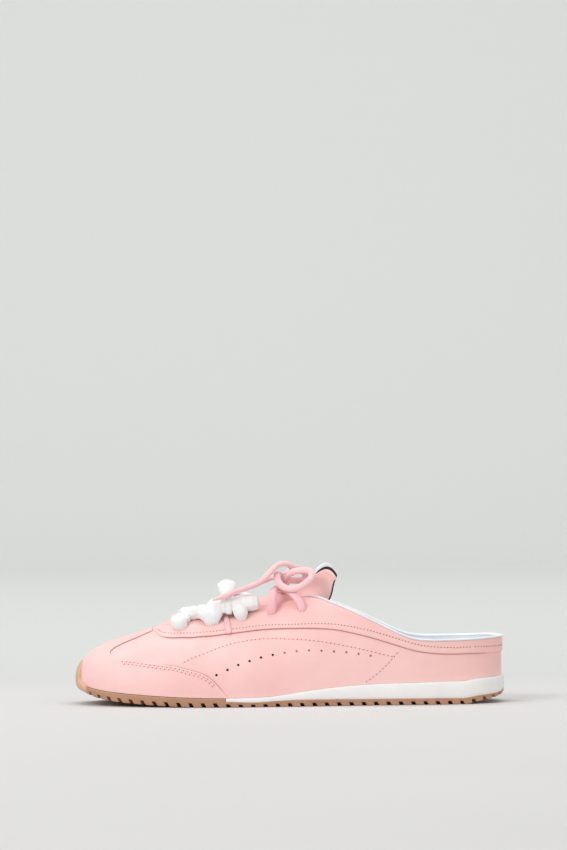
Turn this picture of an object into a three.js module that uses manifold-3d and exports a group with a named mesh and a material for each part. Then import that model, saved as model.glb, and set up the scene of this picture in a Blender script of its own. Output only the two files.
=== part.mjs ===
// Low sneaker mule, left shoe. Millimetres, +Z up, toe at -X, heel at +X, outer side at -Y.
import * as THREE from 'three';
import { mergeVertices } from 'three/addons/utils/BufferGeometryUtils.js';
import Module from 'manifold-3d';

const wasm = await Module();
wasm.setup();

// Sizes of the last and the sole
const soleLength = 268;
const ballWidth = 94;
const instepHeight = 74;
const toeSpring = 12;
const heelSpring = 6.8;
const foreStack = 5.8;
const heelStack = 14.3;
const gumThickness = 4;
const toeMargin = 3.6;
const sideMargin = 2.1;
const heelMargin = 1.8;

// Thicknesses of the pieces and the clearance between them
const clearance = 0.3;
const upperWall = 1.8;
const overlayThickness = 1.2;
const eyestayThickness = 1.8;
const guardThickness = 1.8;
const guardWidth = 34;
const bindingHeight = 1.7;
const bindingOverhang = 0.5;
const tongueThickness = 2.6;
const tongueClearance = 0.8;
const insoleThickness = 4;
const wallBulge = 1.6;
const undersideInset = 0.5;

// Lugs round the edge of the sole
const lugPitch = 7.7;
const lugGap = 2.6;
const lugDepth = 1.9;
const lugReach = 8;

// Laces and their eyelets
const eyeletDiameter = 4;
const eyeletCutLength = 16;
const ribbonHalfWidth = 4.6;
const ribbonHalfThickness = 1.7;
const ribbonLift = 4.4;
const cordDiameter = 4.4;
const cordLift = 5.3;
const cordSag = 2.4;

// Mesh steps
const stationCount = 28;
const ribSteps = 7;

function table(names, rows) {
  return rows.map((row) => Object.fromEntries(names.map((name, i) => [name, row[i]])));
}

// Plan of the sole: share of the length from the toe, then shares of the ball width to either side
const planRows = table(['share', 'outer', 'inner'], [
  [0.0, 0.07, 0.07],
  [0.012, -0.1, 0.2],
  [0.04, -0.222, 0.312],
  [0.095, -0.338, 0.412],
  [0.17, -0.425, 0.474],
  [0.26, -0.482, 0.5],
  [0.35, -0.5, 0.472],
  [0.48, -0.468, 0.385],
  [0.6, -0.42, 0.325],
  [0.72, -0.39, 0.325],
  [0.83, -0.373, 0.338],
  [0.92, -0.325, 0.305],
  [0.975, -0.22, 0.205],
  [1.0, -0.01, -0.01],
]);
planRows.forEach((row) => {
  row.turn = Math.acos(1 - 2 * row.share) / Math.PI;
});

// Underside: shares of toe spring and of heel spring
const liftRows = table(['share', 'toe', 'heel'], [
  [0.0, 1.0, 0],
  [0.014, 0.7, 0],
  [0.03, 0.53, 0],
  [0.05, 0.39, 0],
  [0.087, 0.26, 0],
  [0.138, 0.155, 0],
  [0.213, 0.05, 0],
  [0.276, 0, 0],
  [0.3, 0, 0],
  [0.88, 0, 0],
  [0.9, 0, 0],
  [0.917, 0, 0.12],
  [0.933, 0, 0.26],
  [0.958, 0, 0.42],
  [0.978, 0, 0.58],
  [0.994, 0, 0.8],
  [1.0, 0, 1.0],
]);

// Sole height under the upper: 0 is the forefoot's stack and 1 the heel's; gum is its own share
const stackRows = table(['share', 'wedge', 'gum'], [
  [0.0, -0.2, 0.1],
  [0.02, -0.06, 0.75],
  [0.05, 0.02, 1],
  [0.25, 0.03, 1],
  [0.346, -0.02, 0.86],
  [0.4, 0.0, 0.7],
  [0.44, 0.05, 0.76],
  [0.47, 0.14, 0.9],
  [0.51, 0.33, 1],
  [0.58, 0.61, 1],
  [0.645, 0.79, 1],
  [0.713, 0.895, 1],
  [0.784, 0.945, 1],
  [0.85, 1.0, 1],
  [0.918, 1.0, 0.9],
  [0.96, 0.88, 0.72],
  [1.0, 0.68, 0.4],
]);

// Last above the sole: ridge height as a share of the instep height, its shift to the inner side as
// a share of the ball width, and how full each rib is at its side and at its top
const lastRows = table(['share', 'ridge', 'shift', 'side', 'top'], [
  [0.0, 0.42, 0.07, 0.64, 0.62],
  [0.06, 0.485, 0.07, 0.64, 0.62],
  [0.153, 0.592, 0.065, 0.63, 0.61],
  [0.183, 0.632, 0.06, 0.62, 0.6],
  [0.22, 0.672, 0.058, 0.62, 0.58],
  [0.269, 0.716, 0.055, 0.58, 0.54],
  [0.351, 0.77, 0.048, 0.57, 0.5],
  [0.433, 0.831, 0.04, 0.56, 0.47],
  [0.47, 0.872, 0.034, 0.56, 0.46],
  [0.5, 0.912, 0.028, 0.56, 0.46],
  [0.526, 0.95, 0.022, 0.57, 0.46],
  [0.563, 0.995, 0.015, 0.58, 0.46],
  [0.646, 1.068, 0.005, 0.64, 0.47],
  [0.724, 1.095, -0.01, 0.7, 0.5],
  [0.866, 1.108, -0.015, 0.76, 0.52],
  [1.0, 1.11, -0.015, 0.76, 0.52],
]);
const toeFanShare = 0.31;
const toeFanReach = 0.142;
const heelFanShare = 0.72;
const heelFanReach = 0.125;

// Collar line from the top of the eyestay to the back of the heel
const collarRows = table(['share', 'height'], [
  [0.515, 0.945],
  [0.54, 0.93],
  [0.563, 0.915],
  [0.59, 0.875],
  [0.646, 0.789],
  [0.7, 0.698],
  [0.753, 0.6],
  [0.782, 0.557],
  [0.816, 0.535],
  [0.87, 0.531],
  [0.918, 0.535],
  [0.973, 0.545],
  [1.03, 0.54],
]);
const bindingStart = 0.548;

// Lower edge of the eyestay and of the collar band
const eyestayRows = table(['share', 'height'], [
  [0.181, 0.72],
  [0.182, 0.655],
  [0.187, 0.615],
  [0.199, 0.588],
  [0.222, 0.578],
  [0.27, 0.582],
  [0.318, 0.594],
  [0.373, 0.616],
  [0.441, 0.643],
  [0.509, 0.65],
  [0.563, 0.647],
  [0.612, 0.63],
  [0.679, 0.573],
  [0.748, 0.495],
  [0.782, 0.457],
  [0.816, 0.435],
  [0.864, 0.422],
  [0.918, 0.424],
  [0.966, 0.423],
  [1.03, 0.425],
]);

// Edge of the toe piece: down the toe strip, round the curl and back along the mudguard's wing
const toeEdgeRows = table(['share', 'height'], [
  [0.1797, 0.83],
  [0.1797, 0.642],
  [0.138, 0.585],
  [0.113, 0.551],
  [0.093, 0.514],
  [0.083, 0.485],
  [0.08, 0.465],
  [0.083, 0.445],
  [0.101, 0.397],
  [0.138, 0.389],
  [0.163, 0.376],
  [0.202, 0.358],
  [0.231, 0.345],
  [0.262, 0.315],
  [0.29, 0.288],
  [0.312, 0.243],
  [0.332, 0.169],
  [0.353, 0.08],
]);

// Throat between the eyestays: half of its width as a share of the ball width
const throatRows = table(['share', 'half'], [
  [0.242, 0.03],
  [0.26, 0.065],
  [0.321, 0.085],
  [0.387, 0.108],
  [0.455, 0.14],
  [0.526, 0.178],
  [0.575, 0.2],
  [0.62, 0.22],
]);

// Eyelets of one side, by length and height
const eyeletRows = table(['share', 'height'], [
  [0.254, 0.645],
  [0.322, 0.668],
  [0.387, 0.708],
  [0.455, 0.752],
  [0.525, 0.786],
]);

// Standing part of the tongue: its centre, how far its edges lie behind and below, its half width
const tongueRows = table(['share', 'height', 'back', 'drop', 'half'], [
  [0.433, 0.785, 0.008, 0.13, 0.175],
  [0.47, 0.82, 0.022, 0.135, 0.17],
  [0.5, 0.872, 0.05, 0.13, 0.166],
  [0.522, 0.945, 0.067, 0.085, 0.17],
  [0.537, 1.025, 0.063, 0.02, 0.2],
  [0.548, 1.1, 0.058, 0.005, 0.228],
]);
const tongueFront = 0.205;
const tongueHalfWidth = 0.18;
const tongueCrown = 0.045;

const planX = (share) => (share - 0.5) * soleLength;
const shareOf = (x) => x / soleLength + 0.5;

// Smooth curve through the rows of a table, with the slopes taken from the neighbours
function along(rows, column, at, key = 'share') {
  const last = rows.length - 1;
  const value = Math.min(Math.max(at, rows[0][key]), rows[last][key]);
  let i = 0;
  while (i < last - 1 && rows[i + 1][key] < value) i += 1;
  const slope = (k) => {
    const before = Math.max(k - 1, 0);
    const after = Math.min(k + 1, last);
    return (rows[after][column] - rows[before][column]) / (rows[after][key] - rows[before][key]);
  };
  const step = rows[i + 1][key] - rows[i][key];
  const t = (value - rows[i][key]) / step;
  const a = rows[i][column];
  const b = rows[i + 1][column];
  const ta = slope(i) * step;
  const tb = slope(i + 1) * step;
  return a + t * (ta + t * (3 * (b - a) - 2 * ta - tb + t * (2 * (a - b) + ta + tb)));
}

const lift = (x) => toeSpring * Math.max(0, along(liftRows, 'toe', shareOf(x)))
  + heelSpring * Math.max(0, along(liftRows, 'heel', shareOf(x)));
const stack = (x) => foreStack + (heelStack - foreStack) * along(stackRows, 'wedge', shareOf(x));
const feather = (x) => lift(x) + stack(x);
const gumTop = (x) => lift(x) + gumThickness * along(stackRows, 'gum', shareOf(x));
const ridgeHeight = (x) => instepHeight * along(lastRows, 'ridge', shareOf(x));
const ridgeShift = (x) => ballWidth * along(lastRows, 'shift', shareOf(x));

// Plan outline as a loop: 0 toe, to 1 heel along the outer side, to 2 toe along the inner side
function planLoop(loop) {
  const wrapped = ((loop % 2) + 2) % 2;
  const outer = wrapped <= 1;
  const turn = outer ? wrapped : 2 - wrapped;
  const y = ballWidth * along(planRows, outer ? 'outer' : 'inner', turn, 'turn');
  return new THREE.Vector2(planX((1 - Math.cos(Math.PI * turn)) / 2), y);
}

function planNormal(loop) {
  const step = 1e-3;
  const tangent = planLoop(loop + step).sub(planLoop(loop - step)).normalize();
  return new THREE.Vector2(tangent.y, -tangent.x);
}

function planPoint(loop, inset) {
  return planLoop(loop).addScaledVector(planNormal(loop), -inset);
}

// The upper's lower edge lies inside the sole's edge by this margin
function edgeMargin(loop) {
  const share = shareOf(planLoop(loop).x);
  const toe = Math.max(0, 1 - share / 0.08);
  const heel = Math.max(0, 1 - (1 - share) / 0.08);
  return sideMargin + (toeMargin - sideMargin) * toe * toe + (heelMargin - sideMargin) * heel;
}

// Where a rib meets the ridge: straight across in the middle, drawn in at the toe and the heel
function ridgeAt(x) {
  const share = shareOf(x);
  const toe = Math.max(0, (toeFanShare - share) / toeFanShare);
  const heel = Math.max(0, (share - heelFanShare) / (1 - heelFanShare));
  return planX(share + toeFanReach * toe * toe - heelFanReach * heel * heel);
}

// Point on the last: loop round the plan, rise 0 at the sole to 1 at the ridge
function lastPoint(loop, rise) {
  const base = planPoint(loop, edgeMargin(loop));
  const share = shareOf(base.x);
  const x = ridgeAt(base.x);
  const top = new THREE.Vector3(x, ridgeShift(x), ridgeHeight(x));
  const slope = (ridgeHeight(x + 1) - ridgeHeight(x - 1)) / 2;
  const bottom = new THREE.Vector3(base.x, base.y, feather(base.x));
  const out = new THREE.Vector3(base.x - top.x, base.y - top.y, 0);
  const normal = planNormal(loop);
  const side = bottom.clone();
  side.z += (top.z - bottom.z) * along(lastRows, 'side', share);
  side.x += normal.x * wallBulge;
  side.y += normal.y * wallBulge;
  const shoulder = top.clone().addScaledVector(out, along(lastRows, 'top', share));
  shoulder.z += slope * (shoulder.x - top.x);
  const back = 1 - rise;
  return bottom.multiplyScalar(back * back * back)
    .addScaledVector(side, 3 * back * back * rise)
    .addScaledVector(shoulder, 3 * back * rise * rise)
    .addScaledVector(top, rise * rise * rise);
}

function lastNormal(loop, rise) {
  const x = ridgeAt(planPoint(loop, edgeMargin(loop)).x);
  const slope = (ridgeHeight(x + 1) - ridgeHeight(x - 1)) / 2;
  const ridge = new THREE.Vector3(-slope, 0, 1).normalize();
  if (rise > 0.995) return ridge;
  const step = 1e-3;
  const low = Math.max(rise - step, 0);
  const round = lastPoint(loop + step, rise).sub(lastPoint(loop - step, rise));
  const up = lastPoint(loop, rise + step).sub(lastPoint(loop, low));
  const normal = round.cross(up).normalize();
  if (rise === 0) normal.setZ(0).normalize();
  return normal;
}

function onLast(loop, rise, offset) {
  return lastPoint(loop, rise).addScaledVector(lastNormal(loop, rise), offset);
}

// The place on one side of the last at a given length, and at a given y or z
function findOnLast(side, x, axis, value) {
  const loopAt = (rise) => {
    let low = 0;
    let high = 1;
    for (let i = 0; i < 26; i += 1) {
      const middle = (low + high) / 2;
      if (lastPoint(side < 0 ? middle : 2 - middle, rise).x < x) low = middle;
      else high = middle;
    }
    return side < 0 ? low : 2 - low;
  };
  let low = 0;
  let high = 1;
  for (let i = 0; i < 26; i += 1) {
    const middle = (low + high) / 2;
    const point = lastPoint(loopAt(middle), middle);
    const below = axis === 'z' ? point.z < value : side * point.y > side * value;
    if (below) low = middle;
    else high = middle;
  }
  return { loop: loopAt(low), rise: low };
}

function aboveLast(x, y, offset) {
  const side = y < ridgeShift(x) ? -1 : 1;
  const place = findOnLast(side, x, 'y', y);
  return onLast(place.loop, place.rise, offset);
}

// Closed solid from vertices and triangles, turned over if its faces point inwards
function solid(points, triangles) {
  const geometry = new THREE.BufferGeometry();
  const positions = new Float32Array(points.flatMap((point) => [point.x, point.y, point.z]));
  geometry.setAttribute('position', new THREE.BufferAttribute(positions, 3));
  geometry.setIndex(triangles.flat());
  const made = solidFromGeometry(geometry);
  if (made.volume() > 0) return made;
  geometry.setIndex(triangles.flatMap(([a, b, c]) => [a, c, b]));
  return solidFromGeometry(geometry);
}

function solidFromGeometry(source) {
  const bare = source.clone();
  bare.deleteAttribute('normal');
  bare.deleteAttribute('uv');
  const merged = mergeVertices(bare, 1e-4);
  const corners = [];
  const index = merged.index.array;
  for (let i = 0; i < index.length; i += 3) {
    const [a, b, c] = [index[i], index[i + 1], index[i + 2]];
    if (a !== b && b !== c && c !== a) corners.push(a, b, c);
  }
  const mesh = new wasm.Mesh({
    numProp: 3,
    vertProperties: new Float32Array(merged.attributes.position.array),
    triVerts: new Uint32Array(corners),
  });
  return new wasm.Manifold(mesh);
}

// Solid between closed rings of one point count, from the lowest to the highest, with the ends
// closed across from the outer side to the inner side
function ringSolid(rings) {
  const count = rings[0].length;
  const half = count / 2;
  const points = rings.flat();
  const triangles = [];
  for (let r = 0; r + 1 < rings.length; r += 1) {
    for (let i = 0; i < count; i += 1) {
      const a = r * count + i;
      const b = r * count + ((i + 1) % count);
      triangles.push([a, b, b + count], [a, b + count, a + count]);
    }
  }
  const top = (rings.length - 1) * count;
  for (let i = 0; i < half; i += 1) {
    const outer = [i, i + 1];
    const inner = [(count - i) % count, count - i - 1];
    triangles.push([outer[0], inner[1], outer[1]], [outer[0], inner[0], inner[1]]);
    triangles.push([top + outer[0], top + outer[1], top + inner[1]]);
    triangles.push([top + outer[0], top + inner[1], top + inner[0]]);
  }
  return solid(points, triangles);
}

const loops = Array.from({ length: 2 * stationCount }, (_, i) => i / stationCount);

// Solid last, grown by an offset, with its lower edge carried down by a skirt
function lastSolid(offset, skirt = 0) {
  const rings = [];
  if (skirt > 0) {
    rings.push(loops.map((loop) => onLast(loop, 0, offset).add(new THREE.Vector3(0, 0, -skirt))));
  }
  for (let j = 0; j <= ribSteps; j += 1) {
    rings.push(loops.map((loop) => onLast(loop, j / ribSteps, offset)));
  }
  return ringSolid(rings);
}

// Slab of the sole between two heights, its side drawn in at each level by an inset. The upper's
// seat is level with the upper's lower edge at the same place of the loop.
function soleSlab(levels) {
  return ringSolid(levels.map(({ inset, height }) => loops.map((loop) => {
    const point = planPoint(loop, inset);
    return new THREE.Vector3(point.x, point.y, height(point.x, loop));
  })));
}
const seat = (x, loop) => feather(planPoint(loop, edgeMargin(loop)).x) - clearance;

// Prisms whose outline is drawn from the side, from above and from the front
const reach = 400;
function prism(outline, axes, from, depth) {
  const shape = new THREE.Shape(outline.map(([a, b]) => new THREE.Vector2(a, b)));
  const geometry = new THREE.ExtrudeGeometry(shape, { depth, bevelEnabled: false, steps: 1 });
  geometry.translate(0, 0, from);
  geometry.applyMatrix4(new THREE.Matrix4().makeBasis(...axes));
  return solidFromGeometry(geometry);
}
const axisX = new THREE.Vector3(1, 0, 0);
const axisY = new THREE.Vector3(0, 1, 0);
const axisZ = new THREE.Vector3(0, 0, 1);
const sidePrism = (outline) => prism(outline, [axisX, axisZ, axisY.clone().negate()], -reach, 2 * reach);
const planPrism = (outline, from, to) => prism(outline, [axisX, axisY, axisZ], from, to - from);
const frontPrism = (outline, from, to) => prism(outline, [axisY, axisZ, axisX], from, to - from);

function sampled(rows, column, scale, steps) {
  const from = rows[0].share;
  const length = rows[rows.length - 1].share - from;
  return Array.from({ length: steps + 1 }, (_, i) => {
    const share = from + length * (i / steps);
    return [planX(share), scale * along(rows, column, share)];
  });
}

// Collar line, with a point where the binding starts
const collarLine = sampled(collarRows, 'height', instepHeight, 22)
  .filter(([x]) => Math.abs(x - planX(bindingStart)) > clearance)
  .concat([[planX(bindingStart), instepHeight * along(collarRows, 'height', bindingStart)]])
  .sort((a, b) => a[0] - b[0]);
const boundLine = collarLine.filter(([x]) => x >= planX(bindingStart));
const bareLine = collarLine.filter(([x]) => x < planX(bindingStart));

// Everything above the collar line, and above the seat of the binding where there is one
function collarCutter() {
  const drop = bindingHeight + clearance;
  const start = boundLine[0];
  const step = [[start[0] - clearance, start[1]], [start[0] - clearance, start[1] - drop]];
  const line = [...bareLine, ...step, ...boundLine.map(([x, z]) => [x, z - drop])];
  return sidePrism([...line, [line[line.length - 1][0], reach], [line[0][0], reach]]);
}

function throatCutter() {
  const steps = 14;
  const line = sampled(throatRows, 'half', ballWidth, steps);
  const outer = line.map(([x, half]) => [x, ridgeShift(x) - half]);
  const inner = line.map(([x, half]) => [x, ridgeShift(x) + half]).reverse();
  return planPrism([...outer, ...inner], instepHeight * 0.4, reach);
}

function eyeletPlaces(side) {
  return eyeletRows.map(({ share, height }) => {
    return findOnLast(side, planX(share), 'z', height * instepHeight);
  });
}

function eyeletCutters() {
  return [-1, 1].flatMap((side) => eyeletPlaces(side).map(({ loop, rise }) => {
    const radius = eyeletDiameter / 2;
    const hole = new THREE.CylinderGeometry(radius, radius, eyeletCutLength, 8);
    const turn = new THREE.Quaternion().setFromUnitVectors(axisY, lastNormal(loop, rise));
    hole.applyQuaternion(turn);
    hole.translate(...onLast(loop, rise, 0).toArray());
    return solidFromGeometry(hole);
  }));
}

const cutAll = (body, cutters) => cutters.reduce((rest, cutter) => rest.subtract(cutter), body);
const joinAll = (parts) => parts.reduce((whole, part) => whole.add(part));

// Notches between the lugs, each sloped with the sole's underside
function lugNotches() {
  const samples = 800;
  let travelled = 0;
  let next = lugPitch / 2;
  const notches = [];
  for (let i = 0; i < samples; i += 1) {
    const loop = (2 * i) / samples;
    const here = planLoop(loop);
    const there = planLoop(loop + 2 / samples);
    travelled += here.distanceTo(there);
    if (travelled < next) continue;
    next += lugPitch;
    notches.push(lugNotch(loop));
  }
  return notches;
}

function lugNotch(loop) {
  const normal = planNormal(loop);
  const edge = planPoint(loop, 0);
  const inner = planPoint(loop, lugReach);
  const inward = new THREE.Vector3(inner.x - edge.x, inner.y - edge.y, lift(inner.x) - lift(edge.x));
  const length = inward.length();
  inward.normalize();
  const across = new THREE.Vector3(-normal.y, normal.x, 0);
  const up = new THREE.Vector3().crossVectors(inward, across).normalize();
  if (up.z < 0) up.negate();
  const box = new THREE.BoxGeometry(2 * length, lugGap, 2 * lugDepth);
  const frame = new THREE.Matrix4().makeBasis(inward, new THREE.Vector3().crossVectors(up, inward), up);
  box.applyMatrix4(frame.setPosition(edge.x, edge.y, lift(edge.x)));
  return solidFromGeometry(box);
}

const stepX = planX(0.346);

function toeGuard() {
  const inner = overlayThickness + 2 * clearance;
  const top = 0.385 * instepHeight;
  const centre = ridgeShift(planX(0));
  const half = guardWidth / 2;
  const outline = [[centre - half, 0], [centre + half, 0], [centre + half, top * 0.5]];
  for (let i = 1; i < 8; i += 1) {
    const turn = (Math.PI * i) / 8;
    outline.push([centre + half * Math.cos(turn), top * (0.5 + 0.5 * Math.sin(turn))]);
  }
  outline.push([centre - half, top * 0.5]);
  return lastSolid(inner + guardThickness, foreStack)
    .subtract(lastSolid(inner, 2 * foreStack))
    .intersect(frontPrism(outline, -reach, planX(0.12)));
}

function makeOutsole() {
  const underside = { inset: undersideInset, height: lift };
  const rear = soleSlab([underside, { inset: 0, height: gumTop }]);
  const front = soleSlab([underside, { inset: 0, height: seat }])
    .intersect(sidePrism([[-reach, -reach], [stepX, -reach], [stepX, reach], [-reach, reach]]));
  return cutAll(rear.add(front), lugNotches()).add(toeGuard());
}

function makeMidsole() {
  const bottom = (x) => gumTop(x) + clearance;
  const middle = (x, loop) => (bottom(x) + seat(x, loop)) / 2;
  const from = stepX + clearance;
  return soleSlab([
    { inset: 0.3, height: bottom },
    { inset: 0, height: middle },
    { inset: 0.9, height: seat },
  ]).intersect(sidePrism([[from, -reach], [reach, -reach], [reach, reach], [from, reach]]));
}

function makeUpper() {
  const shell = lastSolid(0).subtract(lastSolid(-upperWall, 2 * foreStack));
  const open = shell.subtract(collarCutter()).subtract(throatCutter());
  return cutAll(open, eyeletCutters());
}

function makeToeOverlay() {
  const line = toeEdgeRows.map(({ share, height }) => [planX(share), height * instepHeight]);
  const outline = [[-reach, reach / 2], [line[0][0], reach / 2], ...line];
  outline.push([line[line.length - 1][0], -reach / 2], [-reach, -reach / 2]);
  return lastSolid(clearance + overlayThickness)
    .subtract(lastSolid(clearance, 2 * foreStack))
    .intersect(sidePrism(outline));
}

function makeEyestayBand() {
  const line = eyestayRows.map(({ share, height }) => [planX(share), height * instepHeight]);
  const outline = [...line, [line[line.length - 1][0], reach / 2], [line[0][0], reach / 2]];
  const band = lastSolid(clearance + eyestayThickness)
    .subtract(lastSolid(clearance, foreStack))
    .intersect(sidePrism(outline))
    .subtract(collarCutter())
    .subtract(throatCutter());
  return cutAll(band, eyeletCutters());
}

function makeCollarBinding() {
  const outside = clearance + eyestayThickness + bindingOverhang;
  const under = boundLine.map(([x, z]) => [x, z - bindingHeight]).reverse();
  return lastSolid(outside)
    .subtract(lastSolid(-upperWall - bindingOverhang, foreStack))
    .intersect(sidePrism([...boundLine, ...under]))
    .subtract(throatCutter());
}

// Solid between two grids of points, the second one under the first
function sheetSolid(upper, lower) {
  const rows = upper.length;
  const columns = upper[0].length;
  const points = [...upper.flat(), ...lower.flat()];
  const under = rows * columns;
  const at = (i, j) => i * columns + j;
  const triangles = [];
  const quad = (a, b, c, d) => triangles.push([a, b, c], [a, c, d]);
  for (let i = 0; i + 1 < rows; i += 1) {
    for (let j = 0; j + 1 < columns; j += 1) {
      quad(at(i, j), at(i + 1, j), at(i + 1, j + 1), at(i, j + 1));
      quad(under + at(i, j), under + at(i, j + 1), under + at(i + 1, j + 1), under + at(i + 1, j));
    }
    quad(at(i + 1, 0), at(i, 0), under + at(i, 0), under + at(i + 1, 0));
    const end = columns - 1;
    quad(at(i, end), at(i + 1, end), under + at(i + 1, end), under + at(i, end));
  }
  for (let j = 0; j + 1 < columns; j += 1) {
    quad(at(0, j), at(0, j + 1), under + at(0, j + 1), under + at(0, j));
    const end = rows - 1;
    quad(at(end, j + 1), at(end, j), under + at(end, j), under + at(end, j + 1));
  }
  return solid(points, triangles);
}

// Tongue: under the throat it follows the last, then it stands up and wraps round the ankle
function tonguePoint(station, across, depth) {
  const front = tongueRows[0].share;
  const share = station <= 0 ? front + (front - tongueFront) * station : 0;
  if (station <= 0) {
    const x = planX(share);
    return aboveLast(x, ridgeShift(x) + across * tongueHalfWidth * ballWidth, -depth);
  }
  const rows = tongueRows.map((row, i) => ({ ...row, place: i / (tongueRows.length - 1) }));
  const value = (column) => along(rows, column, station, 'place');
  const bend = across * across;
  const x = planX(value('share')) + bend * value('back') * soleLength;
  const crown = tongueCrown * 4 * bend * (1 - bend) * Math.max(0, 2 * station - 1);
  const z = instepHeight * (value('height') - bend * value('drop') + crown);
  const y = ridgeShift(planX(value('share'))) + across * value('half') * ballWidth;
  return new THREE.Vector3(x, y, z);
}

function makeTongue() {
  const across = Array.from({ length: 9 }, (_, j) => 1 - j / 4);
  const buried = Array.from({ length: 8 }, (_, i) => i / 8 - 1);
  const standing = Array.from({ length: 8 }, (_, i) => (i + 1) / 8);
  const stations = [...buried, ...standing];
  const depth = upperWall + tongueClearance;
  const face = stations.map((s) => across.map((a) => tonguePoint(s, a, depth)));
  const back = face.map((row, i) => row.map((point, j) => {
    const along1 = face[Math.min(i + 1, face.length - 1)][j].clone().sub(face[Math.max(i - 1, 0)][j]);
    const along2 = row[Math.min(j + 1, row.length - 1)].clone().sub(row[Math.max(j - 1, 0)]);
    return point.clone().addScaledVector(along1.cross(along2).normalize(), tongueThickness);
  }));
  return sheetSolid(face, back);
}

function makeInsole() {
  const inset = (loop) => edgeMargin(loop) + upperWall + clearance + 0.2;
  const ring = (height) => loops.map((loop) => {
    const point = planPoint(loop, inset(loop));
    return new THREE.Vector3(point.x, point.y, feather(point.x) + height);
  });
  return ringSolid([ring(0), ring(insoleThickness)]);
}

// Strand of a lace from one eyelet over the throat to another, narrow at the eyelets
function laceStrand(from, to, { clear, sag, halfWidth, halfThickness, sides }) {
  const steps = 7;
  const rings = [];
  const path = Array.from({ length: steps + 1 }, (_, i) => {
    const t = i / steps;
    const x = from.x + (to.x - from.x) * t;
    const y = from.y + (to.y - from.y) * t;
    const middle = Math.max(0, (Math.sin(Math.PI * t) - 0.6) / 0.4);
    return aboveLast(x, y, clear - sag * middle);
  });
  path.forEach((point, i) => {
    const tangent = path[Math.min(i + 1, steps)].clone().sub(path[Math.max(i - 1, 0)]).normalize();
    const up = aboveLast(point.x, point.y, 1).sub(aboveLast(point.x, point.y, 0)).normalize();
    const wide = new THREE.Vector3().crossVectors(up, tangent).normalize();
    const thick = new THREE.Vector3().crossVectors(tangent, wide).normalize();
    const full = 0.45 + 0.55 * Math.sin((Math.PI * i) / steps);
    rings.push(Array.from({ length: sides }, (_, k) => {
      const turn = (2 * Math.PI * k) / sides;
      return point.clone()
        .addScaledVector(wide, halfWidth * full * Math.cos(turn))
        .addScaledVector(thick, halfThickness * Math.sin(turn));
    }));
  });
  return tubeSolid(rings);
}

// Closed tube through rings, with flat ends
function tubeSolid(rings) {
  const sides = rings[0].length;
  const triangles = [];
  rings.slice(0, -1).forEach((_, i) => {
    for (let k = 0; k < sides; k += 1) {
      const a = i * sides + k;
      const b = i * sides + ((k + 1) % sides);
      triangles.push([a, b, b + sides], [a, b + sides, a + sides]);
    }
  });
  const end = (rings.length - 1) * sides;
  for (let k = 1; k + 1 < sides; k += 1) {
    triangles.push([0, k + 1, k], [end, end + k, end + k + 1]);
  }
  return solid(rings.flat(), triangles);
}

const eyeletPoint = (side, row) => {
  const { loop, rise } = eyeletPlaces(side)[row];
  return onLast(loop, rise, 0);
};

function makeWhiteLace() {
  const form = {
    clear: ribbonLift, sag: 0, halfWidth: ribbonHalfWidth, halfThickness: ribbonHalfThickness, sides: 6,
  };
  const strand = (a, b) => laceStrand(eyeletPoint(-1, a), eyeletPoint(1, b), form);
  return joinAll([strand(0, 0), strand(0, 1), strand(1, 0), strand(1, 2), strand(2, 1)]);
}

function makePinkLace() {
  const half = cordDiameter / 2;
  const form = { clear: cordLift, sag: cordSag, halfWidth: half, halfThickness: half, sides: 8 };
  const strand = (a, b) => laceStrand(eyeletPoint(-1, a), eyeletPoint(1, b), form);
  return joinAll([strand(3, 4), strand(4, 3)]);
}

// Bow of the pink cord, each run as chosen points
const bowRuns = {
  pink_loop_near: [[-6.4, -5, 80.4], [-7.9, -9.6, 80.2], [-7.4, -13.2, 76.4], [-4.6, -16.4, 73],
    [0, -19.6, 71.6], [5, -22, 72.6], [9.8, -23.6, 75.8], [13.2, -23.6, 79.4], [12.4, -20.8, 82.6],
    [7.7, -16.6, 83.2], [2.4, -12.6, 82.2], [-1.2, -9.4, 80], [-2.6, -6.2, 77.4]],
  pink_loop_far: [[-1.5, 3.4, 79], [0, 9, 81.5], [2, 13, 83], [6, 19, 82.5], [11, 23, 79],
    [9, 22, 75.5], [3, 17, 75.5], [-1, 11, 76], [-3, 3, 75.5]],
  pink_end_near: [[1, -1, 80], [2, -4.5, 84], [-2.5, -7.5, 87], [-7.4, -10, 86.2], [-11.2, -12, 83.1],
    [-15, -14.5, 79.2], [-19.5, -17, 75.4], [-25.5, -18.5, 73], [-33.1, -19.5, 70.5],
    [-39.1, -20, 68.1], [-48.2, -20.5, 65.2]],
  pink_end_far: [[-5, 1, 77], [-10, 5, 78], [-15, 10, 76], [-24, 15, 72], [-34, 20, 68]],
};
const knotCentre = [-4.2, -0.8, 76.6];
const knotRadii = [5.4, 5.6, 5.4];

function cordTube(points) {
  const curve = new THREE.CatmullRomCurve3(points.map((point) => new THREE.Vector3(...point)));
  const steps = Math.max(6, Math.round(curve.getLength() / (1.4 * cordDiameter)));
  const circle = new THREE.Shape();
  for (let k = 0; k < 8; k += 1) {
    const turn = (Math.PI * 2 * k) / 8;
    const [a, b] = [Math.cos(turn) * cordDiameter / 2, Math.sin(turn) * cordDiameter / 2];
    if (k === 0) circle.moveTo(a, b);
    else circle.lineTo(a, b);
  }
  circle.closePath();
  const tube = new THREE.ExtrudeGeometry(circle, { steps, extrudePath: curve, bevelEnabled: false });
  return solidFromGeometry(tube).subtract(makeKnot(clearance));
}

function makeKnot(growth = 0) {
  const knot = new THREE.SphereGeometry(1, 10, 6);
  knot.scale(...knotRadii.map((radius) => radius + growth));
  knot.translate(...knotCentre);
  return solidFromGeometry(knot);
}

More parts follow.
